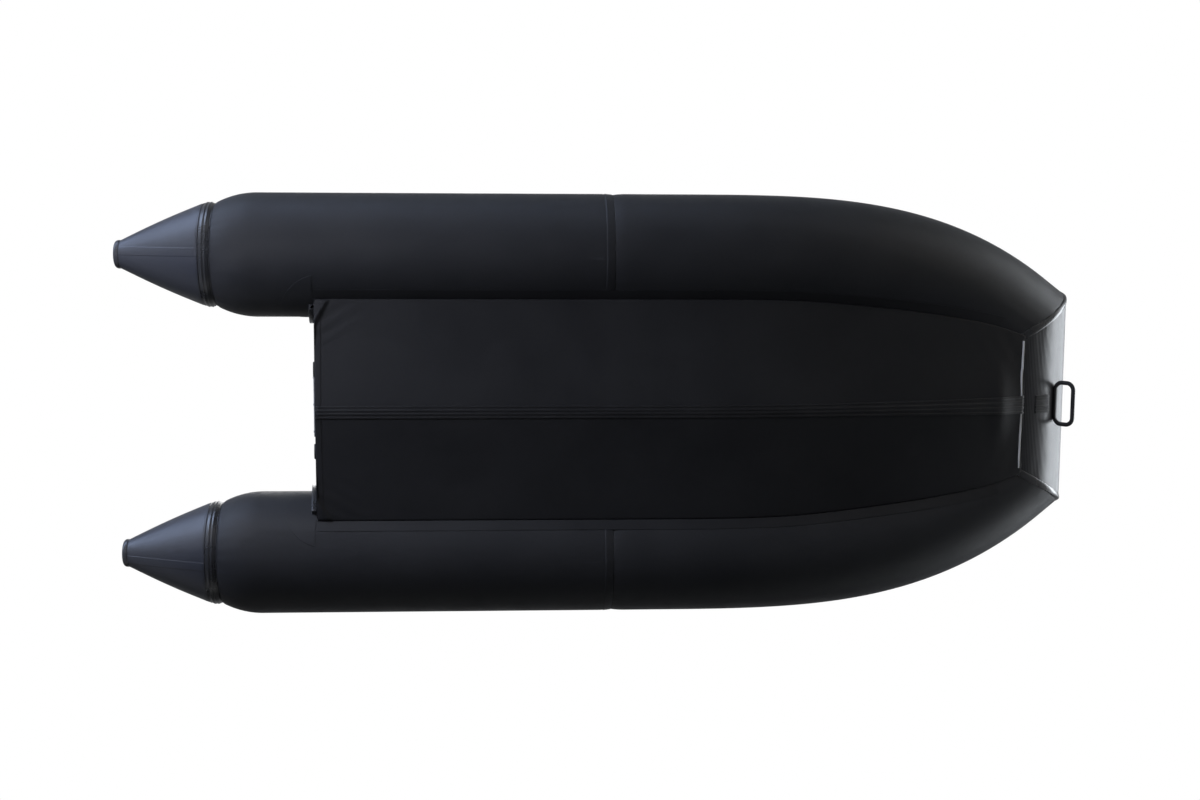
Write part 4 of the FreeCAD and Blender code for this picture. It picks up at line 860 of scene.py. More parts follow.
# The hull
@dataclass
class SternCone:
    """Cone, band and cap at the aft end of a side tube."""

    side: Side
    sides: int = 144
    lap_width: float = 0.030
    lap_height: float = 0.0013
    lap_edge: float = 0.0012
    swell: float = 0.0045
    root_draw: float = 0.002
    root_draw_share: float = 0.02
    texture_radius: float = 0.2
    rib_height: float = 0.0036
    rib_places: Pair = (0.35, 0.64)
    rib_width: float = 0.13
    groove_depth: float = 0.0025
    groove_places: Pair = (0.06, 0.94)
    groove_width: float = 0.05
    cap_rim: float = 0.014
    cap_dish: float = 0.0015
    cap_hub: float = 0.004
    skirt_places: tuple[float, ...] = (0.0165, 0.0185, 0.0195, 0.0208)
    skirt_steps: tuple[float, ...] = (0.0001, 0.0002, -0.0012, -0.0012, 0.0)

    def lap(self, angle: Array, radius: Array) -> Array:
        """Height of the overlapped panel seam that faces down.

        Args:
            angle: angles about the axis, from straight down.
            radius: radius of the cone at each point.

        Returns:
            Heights in metres.
        """
        offset = ((angle + math.pi) % (2 * math.pi) - math.pi) * radius + self.lap_width
        past = eased(offset, self.lap_width, self.lap_width + self.lap_edge)
        return self.lap_height * eased(offset, -self.lap_edge, 0.0) * (1 - past)

    def skin(self, name: str, places: Array, radii: Array, finish: Finish, lapped: bool = False) -> None:
        """A turned skin about the tube's axis.

        Args:
            name: name of the piece, before its side.
            places: distances along the boat.
            radii: radius at each of them.
            finish: its finish.
            lapped: whether the panel seam runs along it.
        """
        finer_below = runs((-0.5, 0.5, 90), (0.55, 2 * math.pi - 0.55, self.sides))
        angle = finer_below if lapped else circle(self.sides)
        place_grid, angle_grid = np.meshgrid(places, angle, indexing="ij")
        reach = np.repeat(radii[:, None], len(angle), axis=1)
        if lapped:
            reach = reach + self.lap(angle_grid, reach)
        y = self.side.value * (LINES.half_gauge - reach * np.sin(angle_grid))
        z = LINES.tube_radius - reach * np.cos(angle_grid)
        node = f"{name}_{self.side.word}"
        points = np.stack([place_grid, y, z], axis=-1)
        piece = grid_mesh(f"{node}_skin", points, place_grid, angle_grid * self.texture_radius)
        finished(piece, finish, node)

    def cone(self) -> None:
        """The cone's fabric, slightly swollen between its cap and its band."""
        run = runs((0, 0.06, 8), (0.075, 0.93, 60), (0.94, 1.0, 10))
        radii = LINES.cone_tip_radius + (LINES.cone_root_radius - LINES.cone_tip_radius) * run
        draw = self.root_draw * np.exp(-((1 - run) / self.root_draw_share) ** 2)
        radii = radii + self.swell * np.sin(np.pi * run) - draw
        places = LINES.stern + LINES.cap_length + run * LINES.cone_length
        self.skin("cone", places, radii, CONE_FABRIC, lapped=True)

    def band(self) -> None:
        """Doubled band with two rounded ribs and a groove on each side of them."""
        run = np.linspace(0, 1, 70)
        ribs = bumps(run, self.rib_places, self.rib_width)
        grooves = bumps(run, self.groove_places, self.groove_width)
        radii = LINES.cone_root_radius + self.rib_height * ribs - self.groove_depth * grooves
        self.skin("cone_band", LINES.band_start + run * LINES.band_width, radii, WELT)

    def cap(self) -> None:
        """Moulded cap on the cone's tip, with a rolled rim and a shallow dish."""
        turn = np.linspace(0, math.pi / 2, 12)
        tip, rim = LINES.cone_tip_radius, self.cap_rim
        dish = np.linspace(self.cap_hub, tip - rim - self.cap_hub / 2, 6)
        dish_places = self.cap_dish * (1 - (dish / (tip - rim)) ** 2)
        skirt_places = (*self.skirt_places, LINES.cap_length)
        places = np.concatenate([dish_places, rim - rim * np.cos(turn), skirt_places])
        radii = np.concatenate([dish, tip - rim + rim * np.sin(turn), tip + np.array(self.skirt_steps)])
        self.skin("cone_cap", LINES.stern + places, radii, CONE_TIP)

    def build(self) -> None:
        """Make every piece of the stern cone."""
        self.cone()
        self.band()
        self.cap()


@dataclass
class SideTube:
    """The two air chambers of a side tube, with the seam between them."""

    side: Side
    lap_width: float = 0.028
    lap_height: float = 0.0012
    lap_edge: float = 0.0012
    band_lobes: int = 30
    band_pucker: float = 0.0011
    band_pucker_fade: float = 0.045
    band_draw: float = 0.003
    band_draw_reach: float = 0.006
    seam_lobes: int = 38
    seam_pucker: float = 0.0005
    seam_pucker_fade: float = 0.04

    def waist(self, distance: Array) -> Array:
        """Draw-in of the tube near the seam between the chambers.

        Args:
            distance: distances from the seam.

        Returns:
            Depths of the draw-in.
        """
        length = LINES.seam_waist_length
        bend = (length ** 2 + LINES.seam_waist ** 2) / (2 * LINES.seam_waist)
        return bend - np.sqrt(bend ** 2 - np.clip(length - distance, 0, length) ** 2)

    def shoulder(self, places: Array) -> Array:
        """Radius of the rounded shoulder and of the tube ahead of it.

        Args:
            places: places along the boat.

        Returns:
            One radius for each place.
        """
        swell = LINES.tube_radius - LINES.cone_root_radius
        bulge = (LINES.shoulder_length ** 2 + swell ** 2) / (2 * swell)
        inside = np.clip(LINES.shoulder_end - places, 0, LINES.shoulder_length)
        return LINES.tube_radius - (bulge - np.sqrt(bulge ** 2 - inside ** 2))

    def chamber(self, end: str, points: Array, along: Array, angle: Array) -> None:
        """The fabric of a chamber.

        Args:
            end: which end of the boat, fore or aft.
            points: rings of points.
            along: distance along the tube of each point.
            angle: angle about the axis of each point.
        """
        node = f"chamber_{end}_{self.side.word}"
        skin = grid_mesh(f"{node}_skin", points, along, angle * LINES.tube_radius)
        finished(skin, TUBE_FABRIC, node)

    def aft_chamber(self) -> None:
        """Straight chamber from the rounded shoulder to the seam amidships."""
        start, seam = LINES.band_end, LINES.seam
        places = runs((start, start + 0.02, 9), (start + 0.024, LINES.shoulder_end, 34),
                      (LINES.shoulder_end + 0.012, seam - 0.06, 104), (seam - 0.056, seam - 0.0295, 8),
                      (seam - 0.0285, seam - 0.0005, 16), (seam, seam, 1))
        x, angle = np.meshgrid(places, circle(TUBE_SIDES), indexing="ij")
        lap = eased(x, seam - self.lap_width - self.lap_edge, seam - self.lap_width)
        reach = self.shoulder(x) - self.waist(seam - x) + self.lap_height * lap
        reach = reach + puckers(angle, x - start, self.band_lobes, 11, self.band_pucker,
                                self.band_pucker_fade)
        reach = reach - self.band_draw * np.exp(-((x - start) / self.band_draw_reach) ** 2)
        reach = reach + puckers(angle, seam - x, self.seam_lobes, 12, self.seam_pucker,
                                self.seam_pucker_fade)
        points = np.stack([x, self.side.value * (LINES.half_gauge - reach * np.sin(angle)),
                           LINES.tube_radius - reach * np.cos(angle)], axis=-1)
        self.chamber("aft", points, x, angle)

    def fore_chamber(self) -> None:
        """Chamber that curves in and lifts from the seam amidships to the bow mitre."""
        around = circle(TUBE_SIDES)
        first = float(LINES.share_at(LINES.seam))
        last = LINES.mitre_share(self.side, around)
        run = runs((0, 0.035, 16), (0.042, 0.93, 150), (0.935, 1.0, 22))
        share = first + run[:, None] * (last[None, :] - first)
        angle = np.broadcast_to(around, share.shape)
        from_seam = (share - first) * LINES.curve_length
        to_mitre = (last[None, :] - share) * LINES.curve_length
        reach = LINES.tube_radius - self.waist(from_seam)
        reach = reach + puckers(angle, from_seam, self.seam_lobes, 13, self.seam_pucker,
                                self.seam_pucker_fade)
        reach = reach + at_mitre(angle, to_mitre, 14 + self.side.value)
        points = LINES.around(share, self.side, reach, angle)
        self.chamber("fore", points, share * LINES.curve_length, angle)

    def build(self) -> None:
        """Make both chambers."""
        self.aft_chamber()
        self.fore_chamber()


@dataclass
class BowTube:
    """Short chamber across the bow, with the welts over its two mitres."""

    welt_half: float = 0.015
    welt_height: float = 0.0036
    welt_sunk: float = 0.0012
    welt_points: int = 260
    welt_rows: int = 15

    def chamber(self) -> None:
        """The bow tube's fabric between its two mitre planes."""
        around = circle(TUBE_SIDES)
        limit = LINES.bow_limit(around)[None, :]
        half = runs((0, 0.9, 44), (0.915, 1.0, 16))
        run = np.concatenate([-half[:0:-1], half])[:, None]
        across = run * limit
        angle = np.broadcast_to(around, across.shape)
        reach = LINES.tube_radius + at_mitre(angle, limit * (1 - np.abs(run)), 21)
        points = LINES.bow_points(across, reach, angle)
        piece = grid_mesh("chamber_bow_skin", points, across, angle * LINES.tube_radius)
        finished(piece, BOW_FABRIC, "chamber_bow")

    def welt(self, side: Side) -> None:
        """Bonded welt over a mitre, part on the side tube and part on the bow tube.

        Args:
            side: side of the boat.
        """
        radius = LINES.tube_radius
        angle = circle(self.welt_points)
        last = LINES.mitre_share(side, angle)
        crest = LINES.around(last, side, radius, angle)
        bow_angle = np.arctan2(crest[:, 0] - LINES.bow_axis, LINES.bow_height - crest[:, 2])
        steps = np.linspace(-1, 1, self.welt_rows)
        rows = []
        for lift, line in ((self.welt_height, steps), (0.0, steps[::-1])):
            for step in line:
                reach = radius + lift * math.sqrt(max(0.0, 1 - step * step)) - self.welt_sunk
                if step <= 0:
                    share = last + step * self.welt_half / LINES.curve_length
                    rows.append(LINES.around(share, side, reach, angle))
                else:
                    limit = LINES.bow_limit(bow_angle) - step * self.welt_half
                    rows.append(LINES.bow_points(side.value * limit, reach, bow_angle))
        finished(ring_mesh(f"mitre_welt_{side.word}", np.stack(rows, axis=1)), WELT)

    def build(self) -> None:
        """Make the bow tube and its welts."""
        self.chamber()
        for side in Side:
            self.welt(side)


@dataclass
class SoftBottom:
    """V-shaped fabric bottom with its front lip, keel strip, flanges and guard patch."""

    half_columns: int = 60
    column_power: float = 0.92
    doubler_length: float = 0.020
    doubler_height: float = 0.0012
    doubler_edge: float = 0.0012
    front_taper: float = 0.0032
    taper_length: float = 0.010
    trim_setback: float = 0.013
    trim_radius: float = 0.0042
    trim_inset: float = 0.018
    trim_wave: float = 0.0012
    trim_waves: float = 15.0
    trim_wave_start: float = 0.4
    trim_step: float = 0.0026
    trim_step_run: Pair = (0.11, 0.15)
    trim_sunk: float = 0.25
    trim_sunk_power: int = 8
    roll_setback: float = 0.085
    roll_depth: float = 0.010
    roll_reach: Pair = (0.042, 0.14)
    keel_crease: float = 0.022
    hollow_depth: float = 0.0035
    drag_depth: float = 0.0007
    drag_reach: float = 0.35
    drag_share: Pair = (1.4, 0.3)
    drag_waves: float = 92.0
    drag_slant: float = 0.55
    drag_bends: float = 21.0
    pull_depth: float = 0.0008
    pull_reach: float = 0.16
    pull_share: Pair = (1.6, 0.5)
    pull_waves: float = 110.0
    pull_slant: float = 0.6
    slow_depth: float = 0.0006
    slow_waves: float = 11.0
    slow_offset: float = 1.3
    quiet_edge: float = 0.02
    fold_length: float = 0.040
    fold_width: float = 0.072
    fold_height: float = 0.010
    fold_edge: float = 0.004
    guard_ribs: int = 4
    guard_rib_share: float = 0.54
    guard_rib_height: float = 0.0015
    guard_rib_edge: float = 0.035
    guard_web: float = 0.002
    guard_width: float = 0.068
    keel_guard_width: float = 0.046
    bow_guard_length: float = 0.066
    bow_guard_angle: float = 24.0
    guard_round: float = 0.0012
    guard_end: float = 0.35

    @property
    def aft_edge(self) -> float:
        """Place of the bottom's aft edge."""
        return LINES.transom - LINES.transom_thickness / 2

    def front_edge(self, below: float) -> Pair:
        """Front edge of a face of the bottom.

        Args:
            below: distance of the face below the bottom's upper face.

        Returns:
            Its place along the boat and its height.
        """
        turn = math.radians(LINES.bottom_front_angle)
        reach = LINES.tube_radius + LINES.bond_gap + below
        return LINES.bow_axis + reach * math.sin(turn), LINES.bow_height - reach * math.cos(turn)

    def lines(self, below: float, places: Array) -> tuple[Array, Array]:
        """Edge and keel lines of a face of the bottom.

        Args:
            below: distance of the face below the bottom's upper face.
            places: places along the boat.

        Returns:
            Edge points and keel points, one for each place.
        """
        straight = LINES.share_at(self.aft_edge + np.array([0.0, 0.4, 0.9]))
        share = np.concatenate([straight, np.linspace(0, LINES.last_side_share, 9)])
        fade = np.clip((share - LINES.bottom_angle_fade) / (1 - LINES.bottom_angle_fade), 0, None)
        angle = np.radians(LINES.bottom_angle * (1 - fade ** 2))
        fade = np.clip((share - LINES.keel_fade_start) / (1 - LINES.keel_fade_start), 0, None)
        drop = LINES.keel_depth * (1 - fade ** 2)
        bond = LINES.tube_radius + LINES.bond_gap
        upper = LINES.around(share, Side.PORT, bond, angle)
        lower = LINES.around(share, Side.PORT, bond + below, angle)
        x, z = self.front_edge(below)
        edge = np.stack([upper[:, 0], lower[:, 1], lower[:, 2]], axis=1)
        keel = np.stack([upper[:, 0], np.zeros(len(share)), upper[:, 2] - drop - below], axis=1)
        return (self.smoothed(np.concatenate([edge, [[x, LINES.bottom_front_half, z]]]), places),
                self.smoothed(np.concatenate([keel, [[x, 0.0, z]]]), places))

    def smoothed(self, points: Array, places: Array) -> Array:
        """A natural cubic line through stations, read at places along the boat.

        Args:
            points: stations, in order along the boat.
            places: places at which the line is read.

        Returns:
            One point for each place.
        """
        knots = points[:, 0]
        gaps = np.diff(knots)
        count = len(knots)
        system = np.eye(count)
        right = np.zeros((count, 2))
        slopes = np.diff(points[:, 1:], axis=0) / gaps[:, None]
        for row in range(1, count - 1):
            system[row, row - 1:row + 2] = (gaps[row - 1], 2 * (gaps[row - 1] + gaps[row]), gaps[row])
            right[row] = 6 * (slopes[row] - slopes[row - 1])
        bend = np.linalg.solve(system, right)
        cell = np.clip(np.searchsorted(knots, places) - 1, 0, count - 2)
        left = (knots[cell + 1] - places)[:, None]
        rest = (places - knots[cell])[:, None]
        gap = gaps[cell][:, None]
        first, second = points[cell, 1:], points[cell + 1, 1:]
        curved = (bend[cell] * left ** 3 + bend[cell + 1] * rest ** 3) / (6 * gap)
        linear = ((first / gap - bend[cell] * gap / 6) * left
                  + (second / gap - bend[cell + 1] * gap / 6) * rest)
        return np.concatenate([places[:, None], curved + linear], axis=1)

    def heights(self, outer: bool, places: Array, across: Array, edge: Array, keel: Array) -> Array:
        """Heights of one face of the bottom.

        Args:
            outer: whether it is the face that meets the water.
            places: places along the boat.
            across: distances from the middle plane, a row for each place.
            edge: edge line of the face at the places.
            keel: keel line of the face at the places.

        Returns:
            Heights, a row for each place.
        """
        half_width = edge[:, 1:2]
        share = np.abs(across) / half_width
        crease = self.keel_crease
        rise = (np.sqrt(share ** 2 + crease ** 2) - crease) / (math.sqrt(1 + crease ** 2) - crease)
        height = keel[:, 2:3] + (edge[:, 2:3] - keel[:, 2:3]) * rise
        if not outer:
            return height
        x = places[:, None]
        ahead = x - self.aft_edge
        past_doubler = eased(ahead, self.doubler_length, self.doubler_length + self.doubler_edge)
        height = height - self.doubler_height * (1 - past_doubler)
        height = height + self.tension(x, across, share, half_width)
        height = height - self.corner_folds(ahead, half_width - np.abs(across))
        return height + self.front_taper * eased(x, places[-1] - self.taper_length, places[-1])

    def tension(self, x: Array, y: Array, share: Array, half_width: Array) -> Array:
        """Shallow hollows, drag lines and keel bulge of a stretched fabric.

        Args:
            x: places along the boat.
            y: places across the boat.
            share: share of the way from the keel to the edge.
            half_width: half width of the bottom at each place.

        Returns:
            Heights to add, positive where the fabric is drawn up.
        """
        side = np.abs(y)
        middle = np.sin(np.pi * np.clip(share, 0, 1))
        (drag, drag_from), (pull, pull_from) = self.drag_share, self.pull_share
        from_bow = x - LINES.bow_axis
        front = np.exp(-(from_bow / self.drag_reach) ** 2) * np.clip(share * drag - drag_from, 0, 1)
        from_stern = (x - LINES.transom) / self.pull_reach
        corner = np.exp(-from_stern ** 2) * np.clip(share * pull - pull_from, 0, 1)
        roll_length, roll_width = self.roll_reach
        roll = np.exp(-((from_bow + self.roll_setback) / roll_length) ** 2 - (y / roll_width) ** 2)
        drag_line = (x + self.drag_slant * side) * self.drag_waves + np.sin(y * self.drag_bends)
        total = (self.hollow_depth * middle ** 2
                 + self.drag_depth * np.sin(drag_line) * front
                 + self.pull_depth * np.sin((x * self.pull_slant - side) * self.pull_waves) * corner
                 + self.slow_depth * np.sin(x * self.slow_waves + self.slow_offset * np.sign(y)) * middle
                 - self.roll_depth * roll)
        return total * eased(half_width - side, 0.0, self.quiet_edge)

    def corner_folds(self, ahead: Array, inboard: Array) -> Array:
        """Gusset folds of the bottom's fabric in its two aft corners.

        Args:
            ahead: distances ahead of the bottom's aft edge.
            inboard: distances inboard of its side edge.

        Returns:
            Depths by which the folds stand below the bottom.
        """
        reach = ahead / self.fold_length + inboard / self.fold_width
        ridge = np.where(reach < 1.0, reach, 1.0 - eased(reach, 1.0, 1.5))
        return self.fold_height * ridge * eased(inboard, 0.0, self.fold_edge)

    def skin(self) -> None:
        """The bottom's fabric, from the transom to its lip under the bow tube."""
        half = np.linspace(0, 1, self.half_columns) ** self.column_power
        spread = np.concatenate([-half[:0:-1], half])[None, :]
        faces = []
        for below in (LINES.bottom_thickness, 0.0):
            length = self.front_edge(below)[0] - self.aft_edge
            run = runs((0, self.doubler_length, 10), (self.doubler_length + 0.0015, 0.096, 32),
                       (0.104, length - 0.02, 184), (length - 0.016, length, 8))
            places = self.aft_edge + run
            edge, keel = self.lines(below, places)
            across = edge[:, 1:2] * spread
            height = self.heights(bool(below), places, across, edge, keel)
            along = np.broadcast_to(places[:, None], across.shape)
            faces.append(np.stack([along, across, height], axis=-1))
        lower, upper = faces
        points = np.concatenate([lower, upper[:, ::-1]], axis=1)
        piece = grid_mesh("hull_bottom_skin", points, points[..., 0], points[..., 1])
        finished(piece, BOTTOM_FABRIC, "hull_bottom")

    def lip(self) -> None:
        """Pale trim along the bottom's front edge, under the bow tube; its pale colour is partly the trim's
        own and partly a painted highlight.
        """
        half = LINES.bottom_front_half - self.trim_inset
        y = np.linspace(-half, half, 120)
        wander = (self.trim_wave * np.sin(y * self.trim_waves + self.trim_wave_start)
                  + self.trim_step * eased(-y, *self.trim_step_run))
        front, height = self.front_edge(0.0)
        drop = self.trim_radius * self.trim_sunk * (1 - (np.abs(y) / half) ** self.trim_sunk_power)
        x = front - self.trim_setback + wander
        points = np.stack([x, y, height - LINES.bottom_thickness - drop], axis=1)
        bead("bottom_front_trim", points, self.trim_radius, PALE_TRIM_AND_HIGHLIGHT)

    def rib(self, share: Array) -> Array:
        """Ribs of the guards.

        Args:
            share: shares of the guard's half width, -1 to 1.

        Returns:
            1 on the crests, 0 between them.
        """
        half_rib = self.guard_rib_share / self.guard_ribs
        pitch = (2 - 2 * half_rib) / (self.guard_ribs - 1)
        off_crest = np.abs((share + 1 - half_rib + pitch / 2) % pitch - pitch / 2)
        return 1 - eased(off_crest, half_rib - self.guard_rib_edge, half_rib + self.guard_rib_edge)

    def keel_guard(self) -> None:
        """Ribbed strip along the keel, wider towards the bow, which follows the bottom's fabric."""
        end = self.front_edge(LINES.bottom_thickness)[0]
        places = runs((self.aft_edge + 0.001, end - 0.2, 170), (end - 0.195, end, 70))
        grown_share = np.clip((places - LINES.seam) / (LINES.bow_axis - LINES.seam), 0, None) ** 3
        wider = grown_share * (self.guard_width - self.keel_guard_width)
        half = (self.keel_guard_width + wider)[:, None] / 2
        lines = self.lines(LINES.bottom_thickness, places)
        share = np.linspace(-1, 1, 132)[None, :]
        across, back = share * half, np.linspace(1, -1, 25)[None, :] * half
        depth = self.guard_web + self.guard_rib_height * self.rib(share)
        outer = self.heights(True, places, across, *lines) - depth
        inner = self.heights(True, places, back, *lines) + LINES.bond_gap
        width = np.concatenate([across, back], axis=1)
        height = np.concatenate([outer, inner], axis=1)
        points = np.stack([np.broadcast_to(places[:, None], width.shape), width, height], axis=-1)
        piece = grid_mesh("keel_guard_ribbed", points, points[..., 0], points[..., 1])
        finished(piece, GUARD, "keel_guard")

    def bow_guard(self) -> None:
        """Ribbed guard patch that follows the curve of the bow tube."""
        inner = LINES.tube_radius + LINES.bond_gap
        half_turn = self.bow_guard_length / 2 / LINES.tube_radius
        angle = math.radians(self.bow_guard_angle) + np.linspace(-half_turn, half_turn, 34)
        share = np.linspace(-1, 1, 240)
        height = self.guard_web + self.guard_rib_height * self.rib(share)
        from_end = np.minimum(angle - angle[0], angle[-1] - angle) * LINES.tube_radius
        rounded = np.sqrt(1 - (1 - np.minimum(1.0, from_end / self.guard_round)) ** 2)[:, None]
        outer = inner + height[None, :] * (self.guard_end + (1 - self.guard_end) * rounded)
        reach = np.concatenate([outer, np.full(outer.shape, inner)], axis=1)
        across = np.concatenate([share, share[::-1]])[None, :] * self.guard_width / 2
        points = LINES.bow_points(across, reach, angle[:, None])
        piece = grid_mesh("bow_guard_ribbed", points, points[..., 0], points[..., 1])
        finished(piece, GUARD, "bow_guard")

    def build(self) -> None:
        """Make the bottom and dress what lies on it."""
        self.skin()
        self.lip()
        self.keel_guard()
        self.bow_guard()
        for side in Side:
            dressed(f"bottom_flange_{side.word}", BOTTOM_FABRIC)


# Transom, floor, seats and fittings
@dataclass
class Transom:
    """Transom board with its holders, patches, motor plates and drains."""

    rake: float = 5.0
    height: float = 0.400
    plate_drop: float = 0.012
    screw_inset: Pair = (0.018, 0.022)
    screw_radius: float = 0.0048
    outer_plate: Triple = (0.240, 0.170, 0.008)
    inner_plate: Triple = (0.220, 0.100, 0.006)

    def plate_screws(self, name: str, plate: Triple, face: int) -> None:
        """Screws in the corners of a motor plate.

        Args:
            name: name of the piece.
            plate: width, height and thickness of the plate.
            face: -1 on the aft face, 1 on the fore face.
        """
        width, height, thickness = plate
        aside, inset = self.screw_inset
        lean, rise = math.sin(math.radians(self.rake)), math.cos(math.radians(self.rake))
        ahead = face * (LINES.transom_thickness / 2 + thickness)
        top = self.height - self.plate_drop
        places = [(LINES.transom + ahead * rise - up * lean, across, ahead * lean + up * rise)
                  for across in (-width / 2 + aside, 0.0, width / 2 - aside)
                  for up in (top - inset, top - height + inset)]
        screws(name, places, (face * rise, 0.0, face * lean), self.screw_radius)

    def build(self) -> None:
        """Dress the transom's pieces."""
        softened("transom_board", TRANSOM_PAINT, 0.0022)
        softened("motor_plate_outer", GREY_PLASTIC, 0.0018)
        softened("motor_plate_inner", GREY_PLASTIC, 0.0014)
        self.plate_screws("motor_plate_outer_screws", self.outer_plate, -1)
        self.plate_screws("motor_plate_inner_screws", self.inner_plate, 1)
        for side in Side:
            softened(f"transom_holder_{side.word}", WELT, 0.0025)
            softened(f"drain_{side.word}", BLACK_PLASTIC, 0.0012)
            dressed(f"transom_patch_{side.word}", TUBE_FABRIC)


@dataclass
class Floor:
    """Boards, joiners, stringers and the inflated keel under them."""

    rivets: int = 13
    rivet_radius: float = 0.0035
    rivet_inset: float = 0.03

    def build(self) -> None:
        """Dress the floor's pieces, and rivet the stringers' upper flanges."""
        for place in (1, 2, 3, "bow"):
            softened(f"floor_board_{place}", FLOOR_PAINT, 0.0012)
        for place in (1, 2):
            softened(f"floor_joiner_{place}", ANODISED, 0.0006)
        for side in Side:
            softened(f"floor_stringer_{side.word}", ANODISED, 0.0006)
        dressed("keel_tube", BOTTOM_FABRIC)
        for side in Side:
            low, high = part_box(f"floor_stringer_{side.word}")
            along = np.linspace(low.x + self.rivet_inset, high.x - self.rivet_inset, self.rivets)
            places = [(x, (low.y + high.y) / 2, high.z) for x in along]
            screws(f"floor_rivets_{side.word}", places, (0.0, 0.0, 1.0), self.rivet_radius)


@dataclass
class Fittings:
    """Seats, rowlocks, handles, valves and rub strakes."""

    ring_angle: float = 41.0
    ring_half: float = 0.0795
    ring_low: float = 0.0055
    ring_high: float = 0.081
    ring_corner: float = 0.027
    ring_bar: Pair = (0.008, 0.0055)
    ring_strip: Pair = (0.0065, 0.0095)
    ring_step: float = 0.006
    ring_squareness: float = 0.72
    ring_sides: int = 28
    strip_fade: Pair = (0.6, 0.1)

    def ring_path(self) -> Array:
        """Middle line of the bow handle's ring, across the boat and outward from the tube."""
        half, corner = self.ring_half - self.ring_corner, self.ring_corner
        low, high = self.ring_low + corner, self.ring_high - corner
        arcs = []
        for step, centre in enumerate(((half, high), (-half, high), (-half, low), (half, low))):
            angle = np.linspace(0, math.pi / 2, 12) + step * math.pi / 2
            arcs.append(np.array(centre) + corner * np.stack([np.cos(angle), np.sin(angle)], axis=1))
        path = np.concatenate(arcs)
        fine = []
        for here, after in zip(path, np.roll(path, -1, axis=0)):
            cuts = max(1, int(np.linalg.norm(after - here) / self.ring_step))
            fine.extend(here + (after - here) * cut / cuts for cut in range(cuts))
        return np.array(fine)

    def bow_ring(self) -> None:
        """The moulded ring of the bow handle, its inner bar widened into the strip that is bonded on."""
        path = self.ring_path()
        along = np.roll(path, -1, axis=0) - np.roll(path, 1, axis=0)
        along = along / np.linalg.norm(along, axis=1)[:, None]
        outward = np.stack([along[:, 1], -along[:, 0]], axis=1)
        low, corner = self.ring_low, self.ring_corner
        start, stop = self.strip_fade
        bonded = (eased(-path[:, 1], -low - start * corner, -low - stop * corner)
                  * eased(-np.abs(path[:, 0]), -self.ring_half, -self.ring_half + corner))[:, None]
        in_plane, through = (bar + (strip - bar) * bonded
                             for bar, strip in zip(self.ring_bar, self.ring_strip))
        section = circle(self.ring_sides)
        wide, deep = (np.sign(wave) * np.abs(wave) ** self.ring_squareness
                      for wave in (np.cos(section), np.sin(section)))
        flat = path[:, None, :] + outward[:, None, :] * (in_plane * wide)[..., None]
        lean = math.radians(self.ring_angle)
        reach, across = LINES.tube_radius + flat[..., 1], through * deep
        x = LINES.bow_axis + reach * math.sin(lean) + across * math.cos(lean)
        z = LINES.bow_height - reach * math.cos(lean) + across * math.sin(lean)
        ring = ring_mesh("bow_handle_ring", np.stack([x, flat[..., 0], z], axis=-1))
        finished(ring, RUBBER, "bow_handle")

    def build(self) -> None:
        """Dress the seats and fittings."""
        for name in ("rear", "front"):
            softened(f"seat_{name}", SEAT_PAINT, 0.003, f"seat_{name}")
        for side in Side:
            softened(f"seat_rail_{side.word}", RUBBER, 0.0008)
        self.bow_ring()
        quarters = [f"{end}_{side.word}" for end in ("fore", "aft") for side in Side]
        for quarter in quarters:
            softened(f"carry_handle_{quarter}", RUBBER, 0.003)
        for place in (*quarters, "bow"):
            softened(f"valve_{place}", GREY_PLASTIC, 0.001)
        for side in Side:
            softened(f"rowlock_base_{side.word}", BLACK_PLASTIC, 0.002)
            softened(f"rowlock_ring_{side.word}", GREY_PLASTIC, 0.002, f"rowlock_{side.word}")
            dressed(f"rub_strake_{side.word}", RUBBER)
        dressed("rub_strake_bow", RUBBER)


# Stage
@dataclass(frozen=True)
class Lamp:
    """One soft area lamp: where it stands, what it faces, its size, power and colour."""

    name: str
    place: Triple
    aim: Triple
    width: float
    height: float
    watts: float
    tint: Triple = (1.0, 1.0, 1.0)

    def build(self) -> None:
        """Put the lamp in the scene."""
        light = bpy.data.lights.new(self.name, "AREA")
        light.shape = "RECTANGLE"
        light.size = self.width
        light.size_y = self.height
        light.energy = self.watts
        light.color = self.tint
        made = linked(self.name, light)
        made.visible_camera = False
        made.location = self.place
        made.rotation_euler = (Vector(self.aim) - Vector(self.place)).to_track_quat("-Z", "Y").to_euler()


@dataclass(frozen=True)
class Window:
    """A bright part of the surroundings that only the gloss picks up.

    The edge, foot and head are pairs between which it rises from nothing to full, as parts of the
    directions faced, up and down.
    """

    facing: Triple
    edge: Pair
    foot: Pair
    head: Pair
    level: float
    tint: Triple


